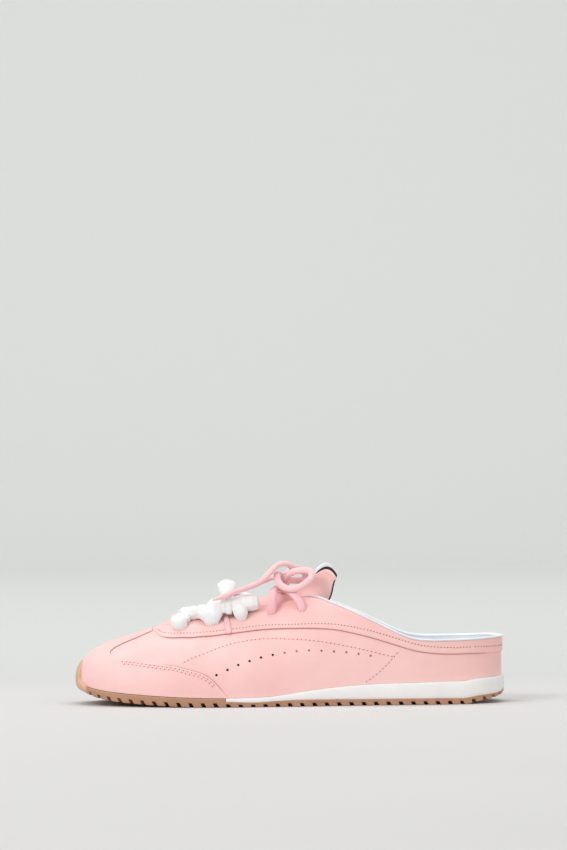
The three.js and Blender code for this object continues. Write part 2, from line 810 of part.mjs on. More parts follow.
const finishes = {
  gum: { color: '#cda078', roughness: 0.75, metalness: 0 },
  foam: { color: '#f0f0ee', roughness: 0.6, metalness: 0 },
  leather: { color: '#f2c8c3', roughness: 0.5, metalness: 0 },
  binding: { color: '#f4f6f6', roughness: 0.6, metalness: 0 },
  lining: { color: '#e8f0f5', roughness: 0.85, metalness: 0 },
  ribbon: { color: '#f5f7f5', roughness: 0.8, metalness: 0 },
  cord: { color: '#f6c8cf', roughness: 0.7, metalness: 0 },
};

function node(name, body, finish) {
  const { vertProperties, triVerts } = body.getMesh();
  const geometry = new THREE.BufferGeometry();
  geometry.setAttribute('position', new THREE.BufferAttribute(new Float32Array(vertProperties), 3));
  geometry.setIndex(new THREE.BufferAttribute(new Uint32Array(triVerts), 1));
  geometry.computeVertexNormals();
  const mesh = new THREE.Mesh(geometry, new THREE.MeshStandardMaterial(finishes[finish]));
  mesh.name = name;
  return mesh;
}

const shoe = new THREE.Group();
shoe.add(
  node('outsole', makeOutsole(), 'gum'),
  node('midsole', makeMidsole(), 'foam'),
  node('upper', makeUpper(), 'leather'),
  node('toe_overlay', makeToeOverlay(), 'leather'),
  node('eyestay_band', makeEyestayBand(), 'leather'),
  node('collar_binding', makeCollarBinding(), 'binding'),
  node('tongue', makeTongue(), 'leather'),
  node('insole', makeInsole(), 'lining'),
  node('white_lace', makeWhiteLace(), 'ribbon'),
  node('pink_lace', makePinkLace(), 'cord'),
  node('pink_knot', makeKnot(), 'cord'),
);
for (const [name, points] of Object.entries(bowRuns)) {
  shoe.add(node(name, cordTube(points), 'cord'));
}

export default shoe;
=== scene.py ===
"""Low sneaker mule, left shoe: leather, gum rubber, foam, lining and laces. Sizes in millimetres."""

import math
import random

import bpy
import numpy as np
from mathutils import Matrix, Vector


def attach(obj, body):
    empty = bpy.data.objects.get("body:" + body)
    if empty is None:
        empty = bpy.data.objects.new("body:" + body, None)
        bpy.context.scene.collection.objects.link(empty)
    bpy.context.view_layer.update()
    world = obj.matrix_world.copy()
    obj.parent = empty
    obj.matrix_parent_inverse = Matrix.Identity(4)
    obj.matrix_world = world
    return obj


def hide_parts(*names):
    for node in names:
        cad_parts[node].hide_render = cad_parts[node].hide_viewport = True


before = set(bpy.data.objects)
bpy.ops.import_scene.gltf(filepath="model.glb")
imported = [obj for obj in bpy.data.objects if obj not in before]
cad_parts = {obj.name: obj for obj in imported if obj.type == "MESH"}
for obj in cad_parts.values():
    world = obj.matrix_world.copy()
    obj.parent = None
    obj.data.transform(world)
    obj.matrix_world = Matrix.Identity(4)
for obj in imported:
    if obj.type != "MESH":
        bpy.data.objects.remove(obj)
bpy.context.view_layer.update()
MM = 0.001
random.seed(7)

# Sizes of the last and the sole
SOLE_LENGTH = 268.0
BALL_WIDTH = 94.0
INSTEP_HEIGHT = 74.0
TOE_SPRING = 12.0
HEEL_SPRING = 6.8
FORE_STACK = 5.8
HEEL_STACK = 14.3
GUM_THICKNESS = 4.0
TOE_MARGIN = 3.6
SIDE_MARGIN = 2.1
HEEL_MARGIN = 1.8
CLEARANCE = 0.3
UPPER_WALL = 1.8
TOE_LAYER = 1.5
EYESTAY_LAYER = 2.1
GUARD_INSIDE = 1.7
GUARD_OUTSIDE = 3.6
BINDING_HEIGHT = 0.9
TONGUE_THICKNESS = 2.6
TONGUE_CLEARANCE = 0.8
INSOLE_THICKNESS = 4.0
WALL_BULGE = 1.6
LUG_PITCH = 7.7
LUG_DEPTH = 2.8
NOTCH_LEAN = 1.3
NOTCH_REACH = 7.9
EYELET_DIAMETER = 4.0
CORD_DIAMETER = 4.4
# Shares of the length: where the white wedge starts, and how far the sole's margins change at either end
WEDGE_START = 0.346
END_SHARE = 0.08


def table(*rows):
    return np.array(rows, float)


# Plan: share of the length from the toe, turn, then shares of the ball width to either side
PLAN = table(
    [0.0, 0.07, 0.07], [0.012, -0.1, 0.2], [0.04, -0.222, 0.312], [0.095, -0.338, 0.412],
    [0.17, -0.425, 0.474], [0.26, -0.482, 0.5], [0.35, -0.5, 0.472], [0.48, -0.468, 0.385],
    [0.6, -0.42, 0.325], [0.72, -0.39, 0.325], [0.83, -0.373, 0.338], [0.92, -0.325, 0.305],
    [0.975, -0.22, 0.205], [1.0, -0.01, -0.01],
)
PLAN[:, 0] = np.arccos(1 - 2 * PLAN[:, 0]) / np.pi

# Underside: share, then shares of toe spring and of heel spring
LIFT = table(
    [0.0, 1.0, 0], [0.014, 0.7, 0], [0.03, 0.53, 0], [0.05, 0.39, 0], [0.087, 0.26, 0],
    [0.138, 0.155, 0], [0.213, 0.05, 0], [0.276, 0, 0], [0.3, 0, 0], [0.88, 0, 0], [0.9, 0, 0],
    [0.917, 0, 0.12], [0.933, 0, 0.26], [0.958, 0, 0.42], [0.978, 0, 0.58], [0.994, 0, 0.8],
    [1.0, 0, 1.0],
)

# Sole height: share, wedge, gum
STACK = table(
    [0.0, -0.2, 0.1], [0.02, -0.06, 0.75], [0.05, 0.02, 1], [0.25, 0.03, 1], [0.346, -0.02, 0.86],
    [0.4, 0.0, 0.7], [0.44, 0.05, 0.76], [0.47, 0.14, 0.9], [0.51, 0.33, 1], [0.58, 0.61, 1],
    [0.645, 0.79, 1], [0.713, 0.895, 1], [0.784, 0.945, 1], [0.85, 1.0, 1], [0.918, 1.0, 0.9],
    [0.96, 0.88, 0.72], [1.0, 0.68, 0.4],
)

# Last: share, ridge height, shift, side fullness, top fullness
LAST = table(
    [0.0, 0.42, 0.07, 0.64, 0.62], [0.06, 0.485, 0.07, 0.64, 0.62], [0.153, 0.592, 0.065, 0.63, 0.61],
    [0.183, 0.632, 0.06, 0.62, 0.6], [0.22, 0.672, 0.058, 0.62, 0.58], [0.269, 0.716, 0.055, 0.58, 0.54],
    [0.351, 0.77, 0.048, 0.57, 0.5], [0.433, 0.831, 0.04, 0.56, 0.47], [0.47, 0.872, 0.034, 0.56, 0.46],
    [0.5, 0.912, 0.028, 0.56, 0.46], [0.526, 0.95, 0.022, 0.57, 0.46], [0.563, 0.995, 0.015, 0.58, 0.46],
    [0.646, 1.068, 0.005, 0.64, 0.47], [0.724, 1.095, -0.01, 0.7, 0.5],
    [0.866, 1.108, -0.015, 0.76, 0.52], [1.0, 1.11, -0.015, 0.76, 0.52],
)
TOE_FAN = (0.31, 0.142)
HEEL_FAN = (0.72, 0.125)

COLLAR = table(
    [0.515, 0.902], [0.54, 0.9], [0.563, 0.892], [0.59, 0.86], [0.646, 0.779], [0.7, 0.691],
    [0.753, 0.6], [0.782, 0.563], [0.816, 0.547], [0.87, 0.547], [0.918, 0.551], [0.973, 0.561],
    [1.03, 0.556],
)
BINDING_START = 0.53
EYESTAY = table(
    [0.181, 0.72], [0.182, 0.655], [0.187, 0.615], [0.199, 0.588], [0.222, 0.578], [0.27, 0.582],
    [0.318, 0.594], [0.373, 0.616], [0.441, 0.643], [0.509, 0.65], [0.563, 0.647], [0.612, 0.63],
    [0.679, 0.573], [0.748, 0.495], [0.782, 0.457], [0.816, 0.435], [0.864, 0.422], [0.918, 0.424],
    [0.966, 0.423], [1.03, 0.425],
)
TOE_EDGE = table(
    [0.1797, 0.83], [0.1797, 0.63], [0.138, 0.566], [0.113, 0.53], [0.093, 0.495], [0.083, 0.469],
    [0.08, 0.452], [0.083, 0.438], [0.101, 0.397], [0.138, 0.389], [0.163, 0.376], [0.202, 0.358],
    [0.231, 0.345], [0.262, 0.315], [0.29, 0.288], [0.312, 0.243], [0.332, 0.169], [0.353, 0.08],
)
THROAT = table(
    [0.242, 0.03], [0.26, 0.065], [0.321, 0.085], [0.387, 0.108], [0.455, 0.14], [0.526, 0.178],
    [0.55, 0.14], [0.575, 0.09], [0.62, 0.05],
)
EYELETS = table([0.254, 0.645], [0.322, 0.668], [0.387, 0.708], [0.455, 0.752], [0.525, 0.786])
TONGUE = table(
    [0.433, 0.785, 0.008, 0.13, 0.175], [0.47, 0.82, 0.022, 0.135, 0.17], [0.5, 0.872, 0.05, 0.13, 0.166],
    [0.522, 0.945, 0.067, 0.085, 0.17], [0.537, 1.025, 0.063, 0.02, 0.2], [0.548, 1.1, 0.058, 0.005, 0.228],
)
TONGUE_FRONT = 0.205
TONGUE_HALF_WIDTH = 0.18
TONGUE_CROWN = 0.072
# Leather's share of the tongue's thickness, the gap behind it, and how much lower the leather ends
TONGUE_SPLIT = 1.15
TONGUE_GAP = 0.12
TONGUE_ROLL = 1.6
TONGUE_STEP = 2.5
# How much lower the dark sheet of painted shade in that gap ends
GAP_SHADE_STEP = 1.2
# Padding of the tongue between the eyestays: place along it, height
TONGUE_SWELL = table(
    [-0.4, 0.0], [-0.2, 3.6], [-0.08, 6.6], [0.0, 7.4], [0.25, 7.2], [0.5, 4.4], [0.72, 1.4], [0.9, 0.0],
)


def plan_x(share):
    return (np.asarray(share, float) - 0.5) * SOLE_LENGTH


def share_of(x):
    return np.asarray(x, float) / SOLE_LENGTH + 0.5


def along(rows, column, at):
    """Smooth curve through one column of a table, keyed by its first column."""
    keys = rows[:, 0]
    values = rows[:, column]
    at = np.clip(np.asarray(at, float), keys[0], keys[-1])
    last = len(keys) - 1
    i = np.clip(np.searchsorted(keys, at, side="left") - 1, 0, last - 1)
    before = np.maximum(np.arange(last + 1) - 1, 0)
    after = np.minimum(np.arange(last + 1) + 1, last)
    slopes = (values[after] - values[before]) / (keys[after] - keys[before])
    step = keys[i + 1] - keys[i]
    t = (at - keys[i]) / step
    a = values[i]
    b = values[i + 1]
    ta = slopes[i] * step
    tb = slopes[i + 1] * step
    return a + t * (ta + t * (3 * (b - a) - 2 * ta - tb + t * (2 * (a - b) + ta + tb)))


def lift(x):
    share = share_of(x)
    toe = np.maximum(0, along(LIFT, 1, share))
    heel = np.maximum(0, along(LIFT, 2, share))
    return TOE_SPRING * toe + HEEL_SPRING * heel


def feather(x):
    return lift(x) + FORE_STACK + (HEEL_STACK - FORE_STACK) * along(STACK, 1, share_of(x))


def gum_top(x):
    return lift(x) + GUM_THICKNESS * along(STACK, 2, share_of(x))


def ridge_height(x):
    return INSTEP_HEIGHT * along(LAST, 1, share_of(x))


def ridge_shift(x):
    return BALL_WIDTH * along(LAST, 2, share_of(x))


def plan_loop(loop):
    """Plan outline: 0 toe, to 1 heel along the outer side, to 2 toe along the inner side."""
    wrapped = np.mod(loop, 2.0)
    outer = wrapped <= 1
    turn = np.where(outer, wrapped, 2 - wrapped)
    y = BALL_WIDTH * np.where(outer, along(PLAN, 1, turn), along(PLAN, 2, turn))
    return np.stack([plan_x((1 - np.cos(np.pi * turn)) / 2), y], -1)


def unit(v):
    return v / np.maximum(np.linalg.norm(v, axis=-1, keepdims=True), 1e-12)


def plan_normal(loop):
    tangent = unit(plan_loop(loop + 1e-3) - plan_loop(loop - 1e-3))
    return np.stack([tangent[..., 1], -tangent[..., 0]], -1)


def plan_point(loop, inset):
    return plan_loop(loop) - plan_normal(loop) * np.asarray(inset, float)[..., None]


def edge_margin(loop):
    share = share_of(plan_loop(loop)[..., 0])
    toe = np.maximum(0, 1 - share / END_SHARE)
    heel = np.maximum(0, 1 - (1 - share) / END_SHARE)
    return SIDE_MARGIN + (TOE_MARGIN - SIDE_MARGIN) * toe * toe + (HEEL_MARGIN - SIDE_MARGIN) * heel


def ridge_at(x):
    share = share_of(x)
    toe = np.maximum(0, (TOE_FAN[0] - share) / TOE_FAN[0])
    heel = np.maximum(0, (share - HEEL_FAN[0]) / (1 - HEEL_FAN[0]))
    return plan_x(share + TOE_FAN[1] * toe * toe - HEEL_FAN[1] * heel * heel)


def last_side(loop, rise):
    base = plan_point(loop, edge_margin(loop))
    share = share_of(base[..., 0])
    x = ridge_at(base[..., 0])
    top = np.stack([x, ridge_shift(x), ridge_height(x)], -1)
    slope = (ridge_height(x + 1) - ridge_height(x - 1)) / 2
    bottom = np.stack([base[..., 0], base[..., 1], feather(base[..., 0])], -1)
    out = np.stack([base[..., 0] - top[..., 0], base[..., 1] - top[..., 1], 0 * x], -1)
    normal = plan_normal(loop)
    side = bottom.copy()
    side[..., 2] += (top[..., 2] - bottom[..., 2]) * along(LAST, 3, share)
    side[..., :2] += normal * WALL_BULGE
    shoulder = top + out * along(LAST, 4, share)[..., None]
    shoulder[..., 2] += slope * (shoulder[..., 0] - top[..., 0])
    rise = np.asarray(rise, float)[..., None]
    up = np.maximum(rise, 0)
    back = 1 - up
    point = (bottom * back ** 3 + side * (3 * back * back * up)
             + shoulder * (3 * back * up * up) + top * up ** 3)
    point[..., 2] += np.minimum(rise[..., 0], 0) * 100
    return point


def last_point(loop, rise):
    """Point on the last: rise 0 at the sole to 1 at the ridge, and below 0 straight down, 100 a unit."""
    loop = np.asarray(loop, float)
    rise = np.asarray(rise, float)
    point = last_side(loop, rise)
    on_ridge = rise > 0.9999
    if np.any(on_ridge):
        point[on_ridge] = (point[on_ridge] + last_side(2 - loop[on_ridge], rise[on_ridge])) / 2
    return point


def last_normal(loop, rise):
    loop = np.asarray(loop, float)
    rise = np.asarray(rise, float)
    x = ridge_at(plan_point(loop, edge_margin(loop))[..., 0])
    slope = (ridge_height(x + 1) - ridge_height(x - 1)) / 2
    ridge = unit(np.stack([-slope, 0 * x, 1 + 0 * x], -1))
    step = 1e-3
    low = np.maximum(rise, 0)
    round_ = last_side(loop + step, low) - last_side(loop - step, low)
    up = last_side(loop, low + step) - last_side(loop, np.maximum(low - step, 0))
    normal = unit(np.cross(round_, up))
    level = normal.copy()
    level[..., 2] = 0
    level = unit(level)
    blend = np.clip((0.06 - rise) / 0.06, 0, 1)[..., None]
    normal = unit(normal * (1 - blend) + level * blend)
    near = np.clip((rise - 0.97) / 0.03, 0, 1)[..., None]
    return unit(normal * (1 - near) + ridge * near)


# Soft creases: from and to in the shoe's own place, depth, width
CREASES = table(
    [-66, -36, 33, -60, -24, 44, 0.35, 3.6],
    [-58, -41, 24, -50, -29, 42, 0.4, 4.2],
    [-36, -44, 20, -30, -33, 40, 0.3, 4.6],
    [8, -43, 17, 30, -39, 27, 0.35, 5.5],
    [30, -41, 20, 58, -37, 24, 0.3, 5.0],
    [-12, -44, 14, 6, -42, 24, 0.25, 4.4],
    [84, -36, 24, 112, -30, 20, 0.3, 5.5],
    [-66, 38, 31, -58, 27, 43, 0.4, 4.0],
    [-50, 41, 26, -42, 32, 40, 0.35, 4.4],
    [10, 30, 20, 40, 29, 30, 0.35, 5.5],
    [84, 31, 24, 108, 26, 20, 0.3, 5.5],
)


def crease(points):
    """How far the leather stands out or sinks at each place, by troughs with a soft ridge beside them."""
    total = np.zeros(len(points))
    for row in CREASES:
        a, b, depth, width = row[0:3], row[3:6], row[6], row[7]
        line = b - a
        t = np.clip((points - a) @ line / (line @ line), 0, 1)
        d = np.linalg.norm(points - a - t[:, None] * line, axis=1) / width
        fade = np.sin(np.pi * np.clip(t, 0.08, 0.92)) ** 0.5
        total += depth * fade * (0.45 * np.exp(-((d - 1.7) / 0.9) ** 2) - np.exp(-d * d))
    return total


def on_last(loop, rise, offset):
    point = last_point(loop, rise)
    offset = np.asarray(offset, float)
    return point + last_normal(loop, rise) * (offset + 0 * point[..., 0])[..., None]


def find_on_last(side, x, axis, value):
    """The place on one side of the last at a given length, and at a given y or z."""
    x = np.asarray(x, float)
    value = np.asarray(value, float)
    side = np.asarray(side, float) + 0 * x

    def loop_at(rise):
        low = np.zeros_like(x)
        high = np.ones_like(x)
        for _ in range(16):
            middle = (low + high) / 2
            before = last_side(np.where(side < 0, middle, 2 - middle), rise)[..., 0] < x
            low = np.where(before, middle, low)
            high = np.where(before, high, middle)
        return np.where(side < 0, low, 2 - low)

    low = np.zeros_like(x)
    high = np.ones_like(x)
    for _ in range(16):
        middle = (low + high) / 2
        point = last_side(loop_at(middle), middle)
        if axis == "z":
            below = point[..., 2] < value
        else:
            below = side * point[..., 1] > side * value
        low = np.where(below, middle, low)
        high = np.where(below, high, middle)
    return loop_at(low), low


def find_on_layer(side, line, layer):
    """Places whose layer's face lies on a line of x and z, seen from one side."""
    target = np.asarray(line, float)
    aim = target.copy()
    for _ in range(2 if layer else 1):
        loop, rise = find_on_last(side, aim[:, 0], "z", aim[:, 1])
        aim = target - layer * last_normal(loop, rise)[:, [0, 2]]
    return loop, rise


def above_last(x, y, offset):
    side = np.where(y < ridge_shift(x), -1.0, 1.0)
    loop, rise = find_on_last(side, x, "y", y)
    return on_last(loop, rise, offset)


# Camera: long lens, level with the shoe, the toe to the left
CAMERA_LENS = 325.0
CAMERA_DISTANCE = 3.2
CAMERA_TARGET = (-3.1, 0, 173.4)
CAMERA_TILT = math.radians(0.7)
CAMERA_YAW = math.radians(-1.5)
CAMERA_ROLL = math.radians(-0.35)


def make_camera():
    data = bpy.data.cameras.new("camera")
    data.sensor_fit = "HORIZONTAL"
    data.sensor_width = 36
    data.lens = CAMERA_LENS
    data.clip_end = 20
    camera = bpy.data.objects.new("camera", data)
    bpy.context.scene.collection.objects.link(camera)
    level = math.cos(CAMERA_TILT)
    back = Vector((math.sin(CAMERA_YAW), -math.cos(CAMERA_YAW) * level, math.sin(CAMERA_TILT))).normalized()
    camera.location = Vector(CAMERA_TARGET) * MM + back * CAMERA_DISTANCE
    turn = back.to_track_quat("Z", "Y").to_matrix().to_4x4()
    roll = turn.Rotation(CAMERA_ROLL, 4, "Z")
    camera.matrix_world = turn.Translation(camera.location) @ turn @ roll
    bpy.context.scene.camera = camera


make_camera()


# Materials
def srgb(r, g, b):
    def linear(v):
        v /= 255
        return v / 12.92 if v <= 0.04045 else ((v + 0.055) / 1.055) ** 2.4
    return (linear(r), linear(g), linear(b), 1)


class Nodes:
    """A material and the nodes in it."""

    def __init__(self, name, roughness, sheen=0.0, coat=0.0, specular=0.5):
        self.material = bpy.data.materials.new(name)
        self.material.use_nodes = True
        self.tree = self.material.node_tree
        self.shader = self.tree.nodes["Principled BSDF"]
        self.set(self.shader, {
            "Roughness": roughness, "Sheen Weight": sheen, "Sheen Roughness": 0.5, "Coat Weight": coat,
            "Coat Roughness": 0.35, "Specular IOR Level": specular,
        })
        self.coordinates = self.tree.nodes.new("ShaderNodeTexCoord").outputs["Object"]

    def add(self, kind, **values):
        node = self.tree.nodes.new(kind)
        for key, value in values.items():
            setattr(node, key, value)
        return node

    def set(self, node, values):
        for key, value in values.items():
            node.inputs[key].default_value = value

    def link(self, a, b):
        self.tree.links.new(a, b)

    def texture(self, kind, output, values, **settings):
        node = self.add(kind, **settings)
        self.set(node, values)
        self.link(self.coordinates, node.inputs["Vector"])
        return node.outputs[output]

    def noise(self, scale, detail):
        values = {"Scale": scale, "Detail": detail, "Roughness": 0.55}
        return self.texture("ShaderNodeTexNoise", "Fac", values)

    def cells(self, scale):
        values = {"Scale": scale}
        return self.texture("ShaderNodeTexVoronoi", "Distance", values, feature="DISTANCE_TO_EDGE")

    def wave(self, scale, direction, distortion):
        values = {"Scale": scale, "Distortion": distortion}
        return self.texture("ShaderNodeTexWave", "Fac", values, bands_direction=direction)

    def ramp(self, value, stops):
        node = self.add("ShaderNodeValToRGB")
        for element, (position, color) in zip(node.color_ramp.elements, stops):
            element.position = position
            element.color = color
        self.link(value, node.inputs["Fac"])
        return node.outputs["Color"]

    def mix(self, a, b, factor):
        node = self.add("ShaderNodeMix", data_type="RGBA")
        for socket, value in ((node.inputs[6], a), (node.inputs[7], b), (node.inputs[0], factor)):
            if isinstance(value, (tuple, float)):
                socket.default_value = value
            else:
                self.link(value, socket)
        return node.outputs[2]

    def range(self, value, low, high, to_low, to_high):
        node = self.add("ShaderNodeMapRange")
        self.set(node, {"From Min": low, "From Max": high, "To Min": to_low, "To Max": to_high})
        self.link(value, node.inputs["Value"])
        return node.outputs["Result"]

    def bump(self, layers):
        """layers: rows of height, strength, distance in millimetres; later ones lie on earlier ones."""
        normal = None
        for height, strength, distance in layers:
            node = self.add("ShaderNodeBump")
            self.set(node, {"Strength": strength, "Distance": distance * MM})
            self.link(height, node.inputs["Height"])
            if normal is not None:
                self.link(normal, node.inputs["Normal"])
            normal = node.outputs["Normal"]
        self.link(normal, self.shader.inputs["Normal"])

    def color(self, value):
        self.link(value, self.shader.inputs["Base Color"])


def lighter_edges_gap_shade(nodes, base, edge_color, gap_shade_color):
    """Lighter on rounded edges, and darker in the gaps as painted shade."""
    geometry = nodes.add("ShaderNodeNewGeometry")
    light = nodes.range(geometry.outputs["Pointiness"], 0.51, 0.56, 0.0, 0.6)
    # Painted shade: darker where the surface curves inward, in gaps and creases.
    dark = nodes.range(geometry.outputs["Pointiness"], 0.42, 0.49, 0.7, 0.0)
    return nodes.mix(nodes.mix(base, edge_color, light), gap_shade_color, dark)


def make_leather(name, light, dark, warm):
    nodes = Nodes(name, 0.47, coat=0.06, specular=0.42)
    base = nodes.ramp(nodes.noise(22, 3), [(0.3, dark), (0.62, light)])
    grain = nodes.cells(1500)
    spread = nodes.range(grain, 0.0, 0.12, 0.0, 1.0)
    base = nodes.mix(dark, base, nodes.range(grain, 0.0, 0.08, 0.72, 1.0))
    position = nodes.add("ShaderNodeSeparateXYZ")
    nodes.link(nodes.coordinates, position.inputs[0])
    heel = nodes.range(position.outputs["X"], 0.06, 0.134, 0.0, 0.75)
    base = nodes.mix(base, warm, heel)
    nodes.color(lighter_edges_gap_shade(nodes, base, light, dark))
    rough = nodes.range(nodes.noise(160, 5), 0.3, 0.7, 0.4, 0.56)
    nodes.link(rough, nodes.shader.inputs["Roughness"])
    nodes.bump([
        (nodes.noise(70, 4), 0.35, 0.5),
        (nodes.noise(420, 5), 0.3, 0.16),
        (spread, 0.32, 0.1),
    ])
    return nodes.material


def make_textile(name, light, dark, scale, depth=0.14, sheen=0.25):
    nodes = Nodes(name, 0.86, sheen=sheen, specular=0.25)
    across = nodes.wave(scale, "X", 0.6)
    up = nodes.wave(scale, "Z", 0.6)
    weave = nodes.mix(across, up, 0.5)
    base = nodes.ramp(nodes.noise(60, 3), [(0.3, dark), (0.7, light)])
    nodes.color(nodes.mix(dark, base, nodes.range(weave, 0.0, 0.45, 0.7, 1.0)))
    nodes.bump([(nodes.noise(300, 3), 0.25, 0.2), (weave, 0.45, depth)])
    return nodes.material


def make_rubber(name, light, dark, roughness, speck):
    nodes = Nodes(name, roughness, specular=0.4)
    base = nodes.ramp(nodes.noise(45, 4), [(0.3, dark), (0.68, light)])
    fine = nodes.noise(1400, 3)
    base = nodes.mix(base, dark, nodes.range(fine, 0.6, 0.75, 0.0, speck))
    nodes.color(lighter_edges_gap_shade(nodes, base, light, dark))
    nodes.link(nodes.range(nodes.noise(180, 4), 0.3, 0.7, roughness - 0.08, roughness + 0.08),
               nodes.shader.inputs["Roughness"])
    nodes.bump([(nodes.noise(120, 3), 0.2, 0.25), (fine, 0.22, 0.08)])
    return nodes.material


def make_plain(name, color, roughness):
    nodes = Nodes(name, roughness)
    dark = tuple(0.8 * c for c in color[:3]) + (1,)
    nodes.color(nodes.ramp(nodes.noise(500, 3), [(0.3, dark), (0.7, color)]))
    nodes.bump([(nodes.noise(900, 3), 0.3, 0.08)])
    return nodes.material


LEATHER = make_leather("leather", srgb(251, 206, 202), srgb(246, 194, 190), srgb(245, 196, 186))
# Lighter copy of the leather for the tongue: painted light, for a face that lies in shade.
TONGUE_LEATHER_LIT = make_leather(
    "tongue_leather", srgb(252, 212, 207), srgb(248, 199, 195), srgb(252, 212, 205))
LINING = make_textile("lining", srgb(240, 243, 246), srgb(222, 230, 236), 700)
BINDING = make_textile("binding", srgb(246, 247, 247), srgb(230, 235, 238), 520, 0.1)
# One gum rubber in two copies: the sole's painted darker as painted shade, the toe guard's lighter as
# painted light.
GUM_SHADED = make_rubber("gum", srgb(195, 150, 122), srgb(176, 130, 100), 0.6, 0.3)
TOE_GUM_LIT = make_rubber("toe_gum_lit", srgb(221, 178, 151), srgb(205, 158, 130), 0.6, 0.3)
FOAM = make_rubber("foam", srgb(244, 243, 241), srgb(234, 233, 231), 0.55, 0.12)
WHITE_LACE = make_textile("white_ribbon", srgb(246, 245, 243), srgb(232, 233, 232), 430, 0.16, 0.4)
PINK_LACE = make_textile("pink_cord", srgb(252, 211, 213), srgb(245, 190, 195), 520, 0.2, 0.4)
THREAD = make_plain("thread", srgb(250, 212, 208), 0.6)
# Small dark discs in the needle holes: painted shade
NEEDLE_HOLE_SHADE = make_plain("needle_hole_shade", srgb(190, 122, 122), 0.8)
SHADE = make_plain("seam_shade", srgb(206, 142, 142), 0.9)
# Walls and floors of the punched holes and eyelets: painted shade; the backed holes get a paler painted
# shade
HOLE_SHADE = make_plain("punched_hole_shade", srgb(82, 36, 34), 0.9)
BACKED_HOLE_SHADE = make_plain("backed_hole_shade", srgb(196, 142, 138), 0.9)
# Dark sheet in the gap between the tongue's leather and lining: painted shade
TONGUE_GAP_SHADE = make_plain("gap_shade", srgb(66, 40, 44), 0.9)


# Mesh helpers
def add_mesh(name, points, faces, materials, face_slots=None, sharp=None):
    mesh = bpy.data.meshes.new(name)
    mesh.from_pydata((np.asarray(points, float) * MM).tolist(), [], [list(f) for f in faces])
    mesh.validate()
    for material in materials:
        mesh.materials.append(material)
    if face_slots is not None:
        mesh.polygons.foreach_set("material_index", np.asarray(face_slots, np.int32))
    mesh.polygons.foreach_set("use_smooth", np.ones(len(mesh.polygons), bool))
    if sharp is not None:
        mesh.set_sharp_from_angle(angle=math.radians(sharp))
    mesh.update()
    piece = bpy.data.objects.new(name, mesh)
    bpy.context.scene.collection.objects.link(piece)
    return piece


def finish_piece(piece, slot, *nodes):
    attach(piece, "root")
    if nodes:
        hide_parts(*nodes)
    return piece


def grid_faces(rows, columns, closed=False, start=0):
    """Quads of a grid of points; closed joins the last column to the first."""
    faces = []
    for i in range(rows - 1):
        for j in range(columns if closed else columns - 1):
            a = start + i * columns + j
            b = start + i * columns + (j + 1) % columns
            faces.append((a, b, b + columns, a + columns))
    return faces


def prism(low, high):
    """Closed prism between two rings of points."""
    count = len(low)
    faces = grid_faces(2, count, closed=True)
    faces.append(tuple(range(count - 1, -1, -1)))
    faces.append(tuple(range(count, 2 * count)))
    return np.concatenate([low, high]), faces


def spline(points, steps):
    """Rounded line through points, with so many steps between each two."""
    points = np.asarray(points, float)
    padded = np.concatenate([[2 * points[0] - points[1]], points, [2 * points[-1] - points[-2]]])
    line = []
    for i in range(len(points) - 1):
        p0, p1, p2, p3 = padded[i:i + 4]
        for t in np.arange(steps) / steps:
            line.append(0.5 * (2 * p1 + (p2 - p0) * t + (2 * p0 - 5 * p1 + 4 * p2 - p3) * t * t
                               + (3 * p1 - p0 - 3 * p2 + p3) * t ** 3))
    line.append(points[-1])
    return np.array(line)


def travel(points):
    """Length travelled at each point of a line."""
    return np.concatenate([[0], np.cumsum(np.linalg.norm(np.diff(points, axis=0), axis=1))])


def slab(name, low, high, material, ends=True):
    """Piece between two grids of points; ends closes their first and last rows too."""
    rows, columns = high.shape[:2]
    count = rows * columns
    points = np.concatenate([high.reshape(-1, 3), low.reshape(-1, 3)])
    faces = grid_faces(rows, columns)
    faces += [tuple(count + v for v in face[::-1]) for face in faces]
    ring = list(range(columns)) + [i * columns + columns - 1 for i in range(1, rows)]
    ring += [(rows - 1) * columns + j for j in range(columns - 2, -1, -1)]
    ring += [i * columns for i in range(rows - 2, 0, -1)]
    edges = zip(ring, ring[1:] + ring[:1])
    edges = [(a, b) for a, b in edges if ends or a // columns != b // columns]
    faces += [(b, a, a + count, b + count) for a, b in edges]
    return add_mesh(name, points, faces, [material], sharp=60)


def triangle_edges(triangles):
    return np.concatenate([triangles[:, [0, 1]], triangles[:, [1, 2]], triangles[:, [2, 0]]])


